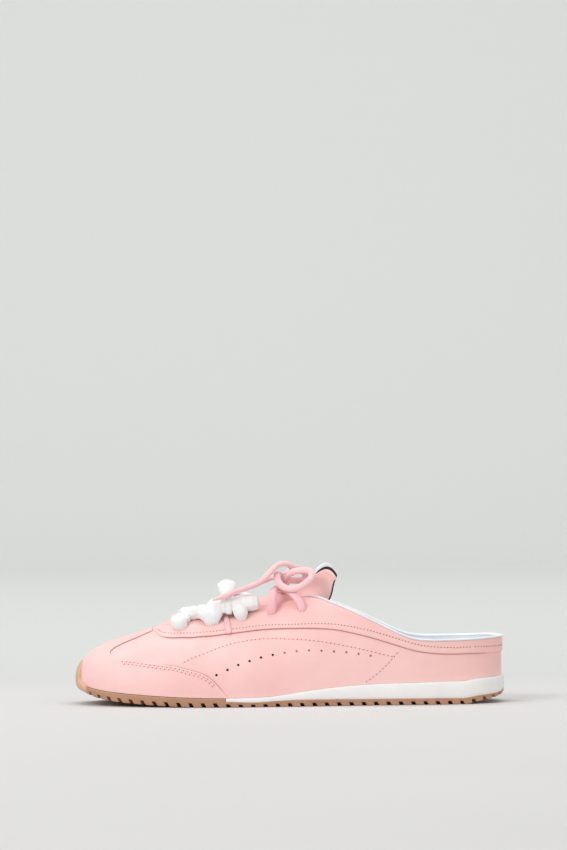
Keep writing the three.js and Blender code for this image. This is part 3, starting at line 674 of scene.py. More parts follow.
class Skin:
    """Triangles over the last, kept as places (loop, rise)."""

    def __init__(self, stations, rises):
        count = 2 * stations
        index = np.zeros((len(rises), count), int)
        loops, heights = [], []
        for j, rise in enumerate(rises):
            for i in range(count):
                if j == len(rises) - 1 and i > stations:
                    index[j, i] = index[j, count - i]
                    continue
                index[j, i] = len(loops)
                loops.append(i / stations)
                heights.append(rise)
        a = index[:-1]
        b = np.roll(index, -1, 1)[:-1]
        c = np.roll(index, -1, 1)[1:]
        d = index[1:]
        first = np.stack([a, b, c], -1).reshape(-1, 3)
        second = np.stack([a, c, d], -1).reshape(-1, 3)
        self.triangles = np.concatenate([first, second])
        self.loop = np.array(loops)
        self.rise = np.array(heights)

    def between(self, a, b, t):
        la, lb = self.loop[a].copy(), self.loop[b].copy()
        top_a = (self.rise[a] > 0.9999) & (lb > 1) & (self.rise[b] < 0.9999)
        top_b = (self.rise[b] > 0.9999) & (la > 1) & (self.rise[a] < 0.9999)
        la = np.where(top_a, 2 - la, la)
        lb = np.where(top_b, 2 - lb, lb)
        la = np.where(lb - la > 1, la + 2, la)
        lb = np.where(la - lb > 1, lb + 2, lb)
        return np.mod(la + (lb - la) * t, 2), self.rise[a] + (self.rise[b] - self.rise[a]) * t

    def split(self, field, level):
        """Cuts each triangle that the line field = level crosses."""
        values = field(self.loop, self.rise) - level
        values = np.where(np.abs(values) < 1e-4, 1e-4, values)
        edges = np.unique(np.sort(triangle_edges(self.triangles), 1), axis=0)
        crossed = edges[values[edges[:, 0]] * values[edges[:, 1]] < 0]
        if not len(crossed):
            return
        a, b = crossed[:, 0], crossed[:, 1]
        low, high = np.zeros(len(a)), np.ones(len(a))
        for _ in range(12):
            t = (low + high) / 2
            loop, rise = self.between(a, b, t)
            same = (field(loop, rise) - level) * values[a] > 0
            low = np.where(same, t, low)
            high = np.where(same, high, t)
        t = np.clip((low + high) / 2, 0.03, 0.97)
        loop, rise = self.between(a, b, t)
        start = len(self.loop)
        cut = {(int(p), int(q)): start + k for k, (p, q) in enumerate(crossed)}
        self.loop = np.concatenate([self.loop, loop])
        self.rise = np.concatenate([self.rise, rise])
        sign = values > 0
        mixed = sign[self.triangles].sum(1)
        keep = self.triangles[(mixed == 0) | (mixed == 3)]
        fresh = []
        for triangle in self.triangles[(mixed == 1) | (mixed == 2)]:
            p, q, r = (int(v) for v in triangle)
            odd = [s for s in (p, q, r) if sign[s] == (sign[[p, q, r]].sum() == 1)][0]
            while p != odd:
                p, q, r = q, r, p
            pq = cut[(min(p, q), max(p, q))]
            pr = cut[(min(p, r), max(p, r))]
            fresh += [(p, pq, pr), (pq, q, r), (pq, r, pr)]
        self.triangles = np.concatenate([keep, np.array(fresh, int)])

    def trim(self, fields, levels):
        """Cuts the triangles at each level of each field, and drops those outside any field."""
        for field in fields:
            for level in levels:
                self.split(field, level)
        self.keep(smallest(*fields))

    def keep(self, field):
        """Drops what lies outside, and the places that nothing uses."""
        values = field(self.loop, self.rise)
        corner = values[self.triangles]
        best = np.take_along_axis(corner, np.abs(corner).argmax(1)[:, None], 1)[:, 0]
        self.triangles = self.triangles[best > 0]
        used = np.unique(self.triangles)
        remap = np.zeros(len(self.loop), int)
        remap[used] = np.arange(len(used))
        self.triangles = remap[self.triangles]
        self.loop = self.loop[used]
        self.rise = self.rise[used]


def thick_sheet(name, skin, outside, inside, materials):
    """Closed piece between two offsets from the last; inner faces take the second material."""
    points = last_point(skin.loop, skin.rise)
    normals = last_normal(skin.loop, skin.rise)
    count = len(points)
    outer = points + normals * outside[:, None]
    inner = points + normals * inside[:, None]
    triangles = skin.triangles
    directed = triangle_edges(triangles)
    keys = directed[:, 0] * count + directed[:, 1]
    back = directed[:, 1] * count + directed[:, 0]
    rim = directed[~np.isin(keys, back)]
    walls = [(int(b), int(a), int(a) + count, int(b) + count) for a, b in rim]
    faces = [tuple(t) for t in triangles.tolist()]
    faces += [tuple(t) for t in (triangles[:, ::-1] + count).tolist()]
    slots = [0] * len(triangles) + [len(materials) - 1] * len(triangles) + [0] * len(walls)
    return add_mesh(name, np.concatenate([outer, inner]), faces + walls, materials, slots, sharp=40)


def smooth_line(rows):
    """Rounded line through rows of share and height, as x and z."""
    return spline(np.stack([plan_x(rows[:, 0]), rows[:, 1] * INSTEP_HEIGHT], -1), 6)


def line_distance(line, points, chunk=4000):
    """Distance to a polyline, and the gradient of that distance."""
    a = line[:-1]
    d = line[1:] - a
    length = (d * d).sum(1)
    out = np.zeros(len(points))
    gradient = np.zeros((len(points), 2))
    for s in range(0, len(points), chunk):
        p = points[s:s + chunk]
        rel = p[:, None] - a[None]
        t = np.clip((rel * d).sum(2) / length, 0, 1)
        off = rel - t[..., None] * d
        dist = np.sqrt((off * off).sum(2))
        best = dist.argmin(1)
        rows = np.arange(len(p))
        out[s:s + chunk] = dist[rows, best]
        gradient[s:s + chunk] = off[rows, best] / np.maximum(dist[rows, best], 1e-9)[:, None]
    return out, gradient


def inside_polygon(outline, points):
    inside = np.zeros(len(points), bool)
    a = outline
    b = np.roll(outline, -1, 0)
    for (x1, y1), (x2, y2) in zip(a, b):
        if y1 == y2:
            continue
        crosses = (y1 > points[:, 1]) != (y2 > points[:, 1])
        at = x1 + (points[:, 1] - y1) / (y2 - y1) * (x2 - x1)
        inside ^= crosses & (points[:, 0] < at)
    return inside


EYESTAY_LINE = smooth_line(EYESTAY)
TOE_EDGE_TOP = 60.0
TOE_EDGE_LINE = np.concatenate([[[plan_x(TOE_EDGE[0, 0]), TOE_EDGE_TOP]], smooth_line(TOE_EDGE[1:])])
# Well outside the shoe
FAR = 400.0
EYESTAY_OUTLINE = np.concatenate([
    EYESTAY_LINE, [[FAR, EYESTAY_LINE[-1, 1]], [FAR, FAR], [EYESTAY_LINE[0, 0], FAR]]])
TOE_OUTLINE = np.concatenate([
    [[-FAR, TOE_EDGE_TOP]], TOE_EDGE_LINE, [[TOE_EDGE_LINE[-1, 0], -FAR], [-FAR, -FAR]]])


def outline_field(line, outline, layer, axes=(0, 2)):
    """Distance along a layer's face to a line drawn from one side; above 0 inside the outline."""
    def field(loop, rise):
        normals = last_normal(loop, rise)
        points = last_point(loop, rise) + normals * layer
        flat = points[:, axes]
        distance, gradient = line_distance(line, flat)
        tilt = (gradient * normals[:, axes]).sum(1)
        distance = distance / np.sqrt(np.maximum(1 - tilt * tilt, 0.08))
        return np.where(inside_polygon(outline, flat), distance, -distance)
    return field


def curve_slope(rows, x):
    """How much a table's curve changes over a millimetre of x."""
    return along(rows, 1, share_of(x + 0.5)) - along(rows, 1, share_of(x - 0.5))


def collar_height(share):
    return INSTEP_HEIGHT * along(COLLAR, 1, share)


def below_collar(loop, rise):
    """Distance below the collar line, which steps down where the binding sits."""
    points = last_point(loop, rise)
    x = points[:, 0]
    slope = INSTEP_HEIGHT * curve_slope(COLLAR, x)
    step = np.where(x > plan_x(BINDING_START) - CLEARANCE, BINDING_HEIGHT + CLEARANCE, 0)
    below = (collar_height(share_of(x)) - step - points[:, 2]) / np.sqrt(1 + slope * slope)
    return np.maximum(below, plan_x(COLLAR[0, 0]) - x)


def beside_throat(loop, rise):
    """Distance outside the throat's opening."""
    points = last_point(loop, rise)
    x = points[:, 0]
    half = BALL_WIDTH * along(THROAT, 1, share_of(x))
    slope = BALL_WIDTH * curve_slope(THROAT, x)
    beside = (np.abs(points[:, 1] - ridge_shift(x)) - half) / np.sqrt(1 + slope * slope)
    ends = np.maximum(plan_x(THROAT[0, 0]) - x, x - plan_x(THROAT[-1, 0]))
    low = points[:, 2] < INSTEP_HEIGHT * 0.4
    return np.where(low, 5, np.maximum(beside, ends))


def smallest(*fields):
    def field(loop, rise):
        return np.min([f(loop, rise) for f in fields], 0)
    return field


def rolled(distance, radius):
    """0 at an edge to 1 at a radius inside it, as a quarter round."""
    t = np.clip(distance / radius, 0, 1)
    return np.sqrt(np.maximum(1 - (1 - t) ** 2, 0))


def soft_step(value, low, high):
    t = np.clip((value - low) / (high - low), 0, 1)
    return t * t * (3 - 2 * t)


# Leather layers: how far they seat and start over the last, and their face where it is thin
LAYER_SEAT = 0.1
LAYER_UNDERSIDE = 0.05
THIN_FACE = 1.0
# Distances from an edge at which its triangles are cut, so that it rolls over smoothly
TOE_CUTS = [0, 0.12, 0.35, 0.8]
BAND_CUTS = [0, 0.15, 0.45, 1.0]
GUARD_CUTS = [0, 0.15, 0.5, 1.1]
above_band_edge = outline_field(EYESTAY_LINE, EYESTAY_OUTLINE, THIN_FACE)
ahead_of_toe_seam = outline_field(TOE_EDGE_LINE, TOE_OUTLINE, THIN_FACE)


def band_face(loop, rise):
    return THIN_FACE + (EYESTAY_LAYER - THIN_FACE) * soft_step(above_band_edge(loop, rise), 2, 14)


def toe_face(loop, rise):
    return 0.95 + (TOE_LAYER - 0.9) * soft_step(ahead_of_toe_seam(loop, rise), 2, 16)


def bare_face(loop, rise):
    return 0 * rise


# Upper with its lining, punched by the row of holes and the eyelets
def make_upper():
    skin = Skin(150, np.linspace(0, 1, 57))
    skin.trim([below_collar, beside_throat], [0])
    outside = crease(last_point(skin.loop, skin.rise))
    return thick_sheet("upper_quarters", skin, outside, 0.5 * outside - UPPER_WALL, [LEATHER, LINING])


def leather_layer(name, skin, thickness, roundness):
    """A layer on the upper, with its edges rounded off."""
    creases = crease(last_point(skin.loop, skin.rise))
    outside = creases + LAYER_SEAT + (thickness - LAYER_SEAT) * roundness
    return thick_sheet(name, skin, outside, creases + LAYER_UNDERSIDE, [LEATHER])


def make_toe_overlay():
    skin = Skin(170, np.linspace(0, 1, 61))
    skin.trim([ahead_of_toe_seam], TOE_CUTS)
    place = (skin.loop, skin.rise)
    edge = np.maximum(ahead_of_toe_seam(*place), 0)
    return leather_layer("toe_cap_leather", skin, toe_face(*place), rolled(edge, TOE_CUTS[-1]))


def make_eyestay():
    skin = Skin(170, np.linspace(0.06, 1, 55))
    skin.trim([above_band_edge, below_collar, beside_throat], BAND_CUTS)
    place = (skin.loop, skin.rise)
    edge = np.maximum(above_band_edge(*place), 0)
    free = np.maximum(np.minimum(below_collar(*place), beside_throat(*place)), 0)
    roundness = np.minimum(rolled(edge, BAND_CUTS[-1]), 0.45 + 0.55 * rolled(free, 0.8))
    return leather_layer("eyestay_leather", skin, band_face(*place), roundness)


# Toe guard seen from the front: height, half width
GUARD = table(
    [28.5, 0.6], [28.0, 3.6], [26.8, 6.6], [25.0, 9.0], [22.0, 11.2], [19.0, 12.3], [16.4, 12.9],
    [15.0, 13.8], [14.0, 16.0], [13.3, 19.0], [12.6, 23.0],
)
GUARD_FOOT = -60.0
GUARD_BACK = 0.12
# How far the guard's skirt runs on below the upper, as a rise, and the least it leaves of the guard
GUARD_SKIRT = 0.045
GUARD_LEAST = 0.4
GUARD_ROLL = 2.0


def make_guard():
    centre = float(ridge_shift(plan_x(0)))
    right = np.column_stack([centre + GUARD[:, 1], GUARD[:, 0]])
    left = np.column_stack([centre - GUARD[:, 1], GUARD[:, 0]])
    foot = GUARD[-1, 1]
    below = [[centre - foot, GUARD_FOOT], [centre + foot, GUARD_FOOT]]
    outline = np.concatenate([left, below, right[::-1]])
    closed = np.concatenate([outline, outline[:1]])
    shape = outline_field(closed, outline, GUARD_OUTSIDE, axes=(1, 2))

    def within(loop, rise):
        return np.minimum(shape(loop, rise), plan_x(GUARD_BACK) - last_point(loop, rise)[:, 0])

    skin = Skin(170, np.concatenate([np.linspace(-GUARD_SKIRT, 0, 9)[:-1], np.linspace(0, 1, 61)]))
    skin.trim([within], GUARD_CUTS)
    edge = np.maximum(within(skin.loop, skin.rise), 0)
    fade = 1 - 0.8 * soft_step(last_point(skin.loop, skin.rise)[:, 2], 18, GUARD[0, 0])
    height = (GUARD_OUTSIDE - GUARD_INSIDE) * fade
    outside = GUARD_INSIDE + height * (0.2 + 0.8 * rolled(edge, GUARD_ROLL))
    tuck = np.clip(-skin.rise / GUARD_SKIRT, 0, 1)
    outside -= (GUARD_OUTSIDE - GUARD_LEAST) * (1 - np.sqrt(1 - 0.98 * tuck ** 2))
    inside = np.minimum(GUARD_INSIDE - 1.2, outside - GUARD_LEAST)
    return thick_sheet("toe_guard", skin, outside, inside, [TOE_GUM_LIT])


# Sole
def cross_plate(inset, heights):
    """Grid from the outer to the inner side of the plan, with its height by x."""
    turns = np.linspace(0, 1, 150)
    outer = plan_point(turns, inset)
    inner = plan_point(2 - turns, inset)
    share = np.linspace(0, 1, 14)[None, :, None]
    flat = outer[:, None] * (1 - share) + inner[:, None] * share
    points = np.concatenate([flat, heights(flat[..., 0])[..., None]], -1).reshape(-1, 3)
    return points, grid_faces(len(turns), share.size)


def sole_top(x, seat_x):
    """Top of the gum: under the upper ahead of the wedge, and under the wedge behind."""
    return np.where(x < plan_x(WEDGE_START), feather(seat_x) - CLEARANCE, gum_top(x))


# Notch between two lugs: place about its middle, depth
NOTCH = table(
    [-1.6, 0], [-1.42, 0.05], [-1.3, 0.5], [-1.18, 0.95], [-0.9, 1], [0, 1], [0.9, 1], [1.18, 0.95],
    [1.3, 0.5], [1.42, 0.05], [1.6, 0], [2.7, 0], [3.85, 0], [5.0, 0],
)
# Gum's edge, from the underside out and over: inset, height, share of the full height, notch
GUM_EDGE = table(
    [9.0, 1.0, 0.0, 0.0], [8.3, 1.0, 0.0, 0.0], [8.0, 0.7, 0.0, 1.0], [7.7, 0.0, 0.0, 1.0],
    [4.0, 0.0, 0.0, 1.0], [1.4, 0.0, 0.0, 1.0], [0.85, 0.05, 0.0, 1.0], [0.6, 0.25, 0.0, 1.0],
    [0.5, 0.6, 0.0, 0.95], [0.42, 0.0, 0.35, 0.3], [0.3, 0.0, 0.6, 0.0], [0.12, 0.0, 0.85, 0.0],
    [0.05, -0.35, 1.0, 0.0], [0.25, -0.08, 1.0, 0.0], [0.8, 0.0, 1.0, 0.0], [14.0, 0.0, 1.0, 0.0],
)
# Foam's edge: inset, share of its height
FOAM_EDGE = table(
    [12.0, 0.0], [0.5, 0.0], [0.22, 0.06], [0.05, 0.2], [0.0, 0.45], [0.1, 0.7], [0.35, 0.88],
    [0.65, 0.97], [1.1, 1.0], [12.0, 1.0],
)


def make_outsole():
    loops = np.linspace(0, 2, 4001)
    travelled = travel(plan_loop(loops))
    total = travelled[-1]
    lugs = int(total / LUG_PITCH)
    at = (LUG_PITCH / 2 + LUG_PITCH * np.arange(lugs)[:, None] + NOTCH[:, 0]).ravel()
    notch = np.tile(NOTCH[:, 1], lugs)
    inside = (at > 0) & (at < total)
    at, notch = at[inside], notch[inside]
    loop = np.interp(at, travelled, loops)
    x = plan_loop(loop)[:, 0]
    seat_x = plan_point(loop, edge_margin(loop))[:, 0]
    base = lift(x)
    full = sole_top(x, seat_x) - base
    lean = NOTCH_LEAN * np.abs(plan_normal(loop)[:, 1])
    rings = []
    for inset, rise, share, carve in GUM_EDGE:
        flat = plan_point(loop, inset)
        depth = carve if inset < NOTCH_REACH else 0
        height = rise + share * full + np.maximum(LUG_DEPTH - rise, 0) * depth * notch
        if carve > 0:
            flat[:, 0] += lean * np.clip(1 - height / LUG_DEPTH, 0, 1)
        rings.append(np.column_stack([flat, base + height]))
    rings = np.array(rings)
    points = rings.reshape(-1, 3)
    faces = grid_faces(*rings.shape[:2], closed=True)
    bottom, cells = cross_plate(8.6, lambda x: lift(x) + 1.0)
    faces += [tuple(len(points) + v for v in face[::-1]) for face in cells]
    points = np.concatenate([points, bottom])
    cover, cells = cross_plate(1.5, lambda x: sole_top(x, x) - 0.15)
    faces += [tuple(len(points) + v for v in face) for face in cells]
    points = np.concatenate([points, cover])
    return add_mesh("outsole_rubber", points, faces, [GUM_SHADED], sharp=45)


# Bars under the sole: their ends, pitch, inset and least length, and a chevron's depth and half pitch
TREAD_FROM = -118
TREAD_TO = 122
TREAD_PITCH = 5.2
TREAD_INSET = 10.5
TREAD_LEAST = 8
CHEVRON_DEPTH = 2.6
CHEVRON_PITCH = 8.8
# Section of a bar: along the sole, height
BAR = table([-1.6, 0.9], [-1.0, 0.15], [0, 0.0], [1.0, 0.15], [1.6, 0.9])


def make_tread():
    """Low chevron bars over the middle of the underside."""
    points, faces = [], []
    width = len(BAR)
    for x in np.arange(TREAD_FROM, TREAD_TO, TREAD_PITCH):
        turn = np.arccos(1 - 2 * share_of(x)) / np.pi
        low, high = plan_point(np.array([turn, 2 - turn]), TREAD_INSET)[:, 1]
        if high - low < TREAD_LEAST:
            continue
        ys = np.arange(low, high, 2.2)
        wave = CHEVRON_DEPTH * (np.abs(((ys / CHEVRON_PITCH) % 2) - 1) - 0.5)
        start = len(points)
        for y, w in zip(ys, wave):
            for dx, dz in BAR:
                px = x + w + dx * 0.9
                points.append([px, y, float(lift(px)) + 0.06 + dz])
        faces += grid_faces(len(ys), width, start=start)
        last = start + (len(ys) - 1) * width
        faces.append(tuple(range(start + width - 1, start - 1, -1)))
        faces.append(tuple(range(last, last + width)))
    return add_mesh("outsole_tread", points, faces, [GUM_SHADED], sharp=45)


def make_midsole():
    loops = np.linspace(0, 2, 3001)
    kept = loops[plan_loop(loops)[:, 0] > plan_x(WEDGE_START) + CLEARANCE]
    loop = np.linspace(kept[0], kept[-1], 420)
    low = gum_top(plan_loop(loop)[:, 0])
    high = feather(plan_point(loop, edge_margin(loop))[:, 0]) - 0.1
    rings = []
    for inset, share in FOAM_EDGE:
        rings.append(np.column_stack([plan_point(loop, inset), low + share * (high - low)]))
    faces = grid_faces(len(rings), len(loop))
    return add_mesh("midsole_foam", np.concatenate(rings), faces, [FOAM], sharp=60)


def make_insole():
    turns = np.linspace(0, 1, 130)
    margin = UPPER_WALL + CLEARANCE + 0.25
    outer = plan_point(turns, edge_margin(turns) + margin)
    inner = plan_point(2 - turns, edge_margin(2 - turns) + margin)
    spread = np.sin(np.linspace(-1, 1, 41) * np.pi / 2)
    share = ((spread + 1) / 2)[None, :, None]
    flat = outer[:, None] * (1 - share) + inner[:, None] * share
    x = flat[..., 0]
    width = np.abs(inner[:, 1] - outer[:, 1])[:, None]
    edge = (1 - np.abs(spread))[None] * width / 2
    end = np.minimum(turns, 1 - turns)[:, None] * 90
    round_off = rolled(np.minimum(edge, end), 1.4) - 1
    cup = 1.3 * soft_step(x, 40, 110) * (spread ** 4)[None]
    arch = 1.1 * soft_step(spread, -0.1, 1)[None] * np.exp(-((x - 5) / 38) ** 2)
    z = feather(x) + INSOLE_THICKNESS + round_off * 1.2 + cup + arch - 0.35
    top = np.concatenate([flat, z[..., None]], -1)
    bottom = np.concatenate([flat, (feather(x) + 0.1)[..., None]], -1)
    return slab("insole_lining", bottom, top, LINING, ends=False)


# Rounded binding along the collar
def rise_where(loops, line):
    """The rise at which the last crosses a height that is given by share of the length."""
    low, high = np.full(len(loops), 0.02), np.full(len(loops), 0.999)
    for _ in range(24):
        middle = (low + high) / 2
        point = last_point(loops, middle)
        below = point[:, 2] < line(share_of(point[:, 0]))
        low = np.where(below, middle, low)
        high = np.where(below, high, middle)
    return low


def round_heel(x, line, probe, count):
    """Places along a line round the heel, from x on one side to x on the other."""
    ends = []
    for loops in (probe, 2 - probe):
        behind = last_point(loops, rise_where(loops, line))[:, 0] > x
        ends.append(loops[int(np.argmax(behind))])
    loop = np.linspace(*ends, count)
    return loop, rise_where(loop, line)


# How far the binding stands past the leather and the lining, and how round its section is
BINDING_LIP = 0.35
BINDING_ROUNDNESS = 0.72
BINDING_HALF_HEIGHT = 0.7
BINDING_SINK = 0.65


def rounded(wave):
    """Squares off a circle's wave a little."""
    return np.sign(wave) * np.abs(wave) ** BINDING_ROUNDNESS


def make_binding():
    loop, rise = round_heel(plan_x(BINDING_START), collar_height, np.linspace(0.3, 1, 400), 360)
    centre = last_point(loop, rise)
    normal = last_normal(loop, rise)
    tangent = unit(np.gradient(centre, axis=0))
    normal = unit(normal - tangent * (normal * tangent).sum(1)[:, None])
    up = unit(np.cross(tangent, normal))
    up = np.where(up[:, 2:3] < 0, -up, up)
    turns = np.linspace(0, 2 * np.pi, 28, endpoint=False)
    outside = EYESTAY_LAYER + BINDING_LIP
    inside = UPPER_WALL + BINDING_LIP
    count = len(loop)
    ease = np.minimum(np.arange(count), np.arange(count)[::-1]) / 10.0
    taper = (0.2 + 0.8 * np.sqrt(np.clip(ease, 0, 1)))[:, None]
    out = (outside - inside) / 2 + (outside + inside) / 2 * rounded(np.cos(turns)) * taper
    high = BINDING_HALF_HEIGHT * rounded(np.sin(turns)) * taper - BINDING_SINK
    rings = centre[:, None] + normal[:, None] * out[..., None] + up[:, None] * high[..., None]
    faces = grid_faces(count, len(turns), closed=True)
    faces.append(tuple(range(len(turns)))[::-1])
    faces.append(tuple((count - 1) * len(turns) + k for k in range(len(turns))))
    return add_mesh("collar_roll", rings.reshape(-1, 3), faces, [BINDING], sharp=70)


# Tongue: leather face, foam-backed lining with a turned white edge, and a dark sheet of painted shade in
# the gap between them
def tongue_face(stations, across):
    """The tongue's middle face: on the last below the throat, then standing up by its own table."""
    rows, columns = len(stations), len(across)
    s = np.repeat(stations, columns)
    a = np.tile(across, rows)
    front = TONGUE[0, 0]
    points = np.zeros((rows * columns, 3))
    buried = s <= 0
    x = plan_x(front + (front - TONGUE_FRONT) * s[buried])
    y = ridge_shift(x) + a[buried] * TONGUE_HALF_WIDTH * BALL_WIDTH
    points[buried] = above_last(x, y, -UPPER_WALL - TONGUE_CLEARANCE)
    keyed = np.column_stack([np.linspace(0, 1, len(TONGUE)), TONGUE])
    up = ~buried
    share, height, back, drop, half = (along(keyed, column, s[up]) for column in range(1, 6))
    bend = a[up] ** 2
    corner = np.abs(a[up]) ** 2.8
    crown = TONGUE_CROWN * 4 * corner * (1 - corner) * np.maximum(0, 2 * s[up] - 1)
    points[up] = np.column_stack([
        plan_x(share) + bend * back * SOLE_LENGTH,
        ridge_shift(plan_x(share)) + a[up] * half * BALL_WIDTH,
        INSTEP_HEIGHT * (height - bend * drop + crown),
    ])
    return points.reshape(rows, columns, 3)


def make_tongue():
    across = -0.999 * np.sin(np.linspace(-1, 1, 41) * np.pi / 2)
    stations = np.concatenate([np.linspace(-1, 0, 30)[:-1], np.linspace(0, 1, 44)])
    face = tongue_face(stations, across)
    swell = np.interp(stations, TONGUE_SWELL[:, 0], TONGUE_SWELL[:, 1])
    face[..., 2] += swell[:, None] * np.clip(1 - (np.abs(across) / 0.9) ** 2, 0, 1)[None]
    for _ in range(3):
        face[1:-1] = face[1:-1] * 0.5 + 0.25 * (face[:-2] + face[2:])
    normal = unit(np.cross(np.gradient(face, axis=0), np.gradient(face, axis=1)))
    row = np.arange(len(stations))
    side = (1 - np.abs(across))[None] * TONGUE_HALF_WIDTH * BALL_WIDTH
    end = np.minimum(row, row[::-1])[:, None] * 1.15
    soft = rolled(np.minimum(side, end), TONGUE_ROLL)[..., None]
    padding = TONGUE_THICKNESS - TONGUE_SPLIT - TONGUE_GAP
    middle = face + normal * TONGUE_SPLIT
    outer = middle - normal * TONGUE_SPLIT * soft
    lining = middle + normal * TONGUE_GAP
    lining_back = lining + normal * padding * (0.15 + 0.85 * soft)
    # Dark sheet just behind the leather, in the gap to the lining: painted shade
    gap_shade_sheet = middle - normal * TONGUE_GAP
    shrink = (1 - 0.035 * soft_step(stations, 0.0, 0.6))[:, None, None]
    centre_line = outer.mean(1, keepdims=True)
    outer = centre_line + (outer - centre_line) * shrink
    leather_back = centre_line + (middle - centre_line) * shrink
    lower = soft_step(stations, 0.8, 1.0)[:, None]
    outer[..., 2] -= TONGUE_STEP * lower
    leather_back[..., 2] -= TONGUE_STEP * lower
    gap_shade_sheet[..., 2] -= GAP_SHADE_STEP * lower
    for name, front, back, material, slot in (
        ("tongue_leather", outer, leather_back, TONGUE_LEATHER_LIT, "pink_leather"),
        ("tongue_lining", lining, lining_back, LINING, "white_lining"),
        ("tongue_gap_shade", gap_shade_sheet, gap_shade_sheet + normal * 0.2, TONGUE_GAP_SHADE, "pink_leather"),
    ):
        finish_piece(slab(name, front, back, material), slot, "tongue")


# Tubes along points, with a half width and half thickness at each
def tube(path, up, half_width, half_thickness, sides, shape=None):
    """Closed tube; up is the way its thickness faces, shape(ring, turn) a factor on its radius."""
    count = len(path)
    tangent = unit(np.gradient(path, axis=0))
    wide = unit(np.cross(up, tangent))
    thick = unit(np.cross(tangent, wide))
    turns = np.linspace(0, 2 * np.pi, sides, endpoint=False)
    factor = np.ones((count, sides))
    if shape is not None:
        factor = shape(np.arange(count)[:, None], turns[None])
    across = np.broadcast_to(half_width, count)[:, None] * factor * np.cos(turns)
    high = np.broadcast_to(half_thickness, count)[:, None] * factor * np.sin(turns)
    rings = path[:, None] + wide[:, None] * across[..., None] + thick[:, None] * high[..., None]
    points = np.concatenate([rings.reshape(-1, 3), path[:1], path[-1:]])
    faces = grid_faces(count, sides, closed=True)
    last = (count - 1) * sides
    for k in range(sides):
        after = (k + 1) % sides
        faces.append((count * sides, after, k))
        faces.append((count * sides + 1, last + k, last + after))
    return points, faces


def joined(parts):
    points, faces, start = [], [], 0
    for part_points, part_faces in parts:
        points.append(part_points)
        faces += [tuple(start + v for v in f) for f in part_faces]
        start += len(part_points)
    return np.concatenate(points), faces


# Bow of the pink cord: route of each run
BOW = {
    "pink_loop_near": [[-6.4, -5, 80.4], [-7.9, -9.6, 80.2], [-7.4, -13.2, 76.4], [-4.6, -16.4, 73],
                       [0, -19.6, 71.6], [5, -22, 72.6], [9.8, -23.6, 75.8], [13.2, -23.6, 79.4],
                       [12.4, -20.8, 82.6], [7.7, -16.6, 83.2], [2.4, -12.6, 82.2], [-1.2, -9.4, 80],
                       [-2.6, -6.2, 77.4]],
    "pink_loop_far": [[-1.5, 3.4, 79], [0, 9, 81.5], [2, 13, 83], [6, 19, 82.5], [11, 23, 79],
                      [9, 22, 75.5], [3, 17, 75.5], [-1, 11, 76], [-3, 3, 75.5]],
    "pink_end_near": [[1, -1, 80], [2, -4.5, 84], [-2.5, -7.5, 87], [-7.4, -10, 86.2], [-11.2, -12, 83.1],
                      [-15, -14.5, 79.2], [-19.5, -17, 75.4], [-25.5, -18.5, 73], [-33.1, -19.5, 70.5],
                      [-39.1, -20, 68.1], [-48.2, -20.5, 65.2]],
    "pink_end_far": [[-5, 1, 77], [-10, 5, 78], [-15, 10, 76], [-24, 15, 72], [-34, 20, 68]],
}
KNOT_CENTRE = np.array([-4.2, -0.8, 76.6])
KNOT_RADII = np.array([5.4, 5.6, 5.4])
KNOT_STRAND = 1.75
# Wraps of the knot: turn in degrees, shift across, size
KNOT_WRAPS = table([0, 0.0, 1.0], [35, 0.6, 0.97], [-35, -0.8, 0.95], [90, 0.0, 0.9])
CORD_FLATNESS = 0.86
UPRIGHT = np.array([0.0, 0.0, 1.0])


def two_lobes(i, turn):
    """A hollow flat cord: a soft groove along the middle of each face."""
    return 1 - 0.16 * np.abs(np.sin(turn)) ** 8 + 0.012 * np.cos(5 * turn + 0.4 * i)


def make_cord_run(name, points):
    path = spline(points, 9)
    count = len(path)
    half = np.full(count, CORD_DIAMETER / 2)
    flat = half * CORD_FLATNESS
    if name.startswith("pink_end"):
        up = UPRIGHT
        tail = soft_step(np.arange(count), count - 9, count - 1)
        half = half * (1 - 0.45 * tail)
        flat = flat * (1 - 0.5 * tail)
    else:
        up = unit(np.cross(np.gradient(path, axis=0), path - path.mean(0)))
        up = unit(up * np.sign(up @ [0.2, 0.1, 1.0])[:, None] + np.array([0, 0, 1e-3]))
    piece = add_mesh(name + "_cord", *tube(path, up, half, flat, 16, two_lobes), [PINK_LACE])
    finish_piece(piece, "pink_cord", name)
    return piece, path


def make_knot():
    """Strands wound over each other at the middle of the bow."""
    parts = []
    turns = np.linspace(0, 2 * np.pi, 34)
    wide = np.cos(turns) * (KNOT_RADII[0] - KNOT_STRAND)
    high = np.sin(turns) * (KNOT_RADII[2] - KNOT_STRAND)
    for angle, shift, size in KNOT_WRAPS:
        a = math.radians(angle)
        ring = np.column_stack([wide * math.cos(a), wide * math.sin(a), high]) * size
        path = KNOT_CENTRE + ring + np.array([0, shift, 0])
        parts.append(tube(path, unit(path - KNOT_CENTRE), KNOT_STRAND * 1.15, KNOT_STRAND, 12, two_lobes))
    steps = np.linspace(-1, 1, 13)
    core = KNOT_CENTRE + np.outer(steps, [0, KNOT_RADII[1] - 1.0, 0])
    size = 3.6 * np.sqrt(np.maximum(1 - steps ** 2, 0.1))
    parts.append(tube(core, UPRIGHT, size, size * 0.8, 12))
    return add_mesh("bow_knot", *joined(parts), [PINK_LACE])


def make_bow():
    knot = finish_piece(make_knot(), "pink_cord", "pink_knot")
    for number, (name, points) in enumerate(BOW.items()):
        piece, path = make_cord_run(name, points)
        float(travel(path)[-1]) * MM
        "object" if "loop" in name else "bare"


make_bow()


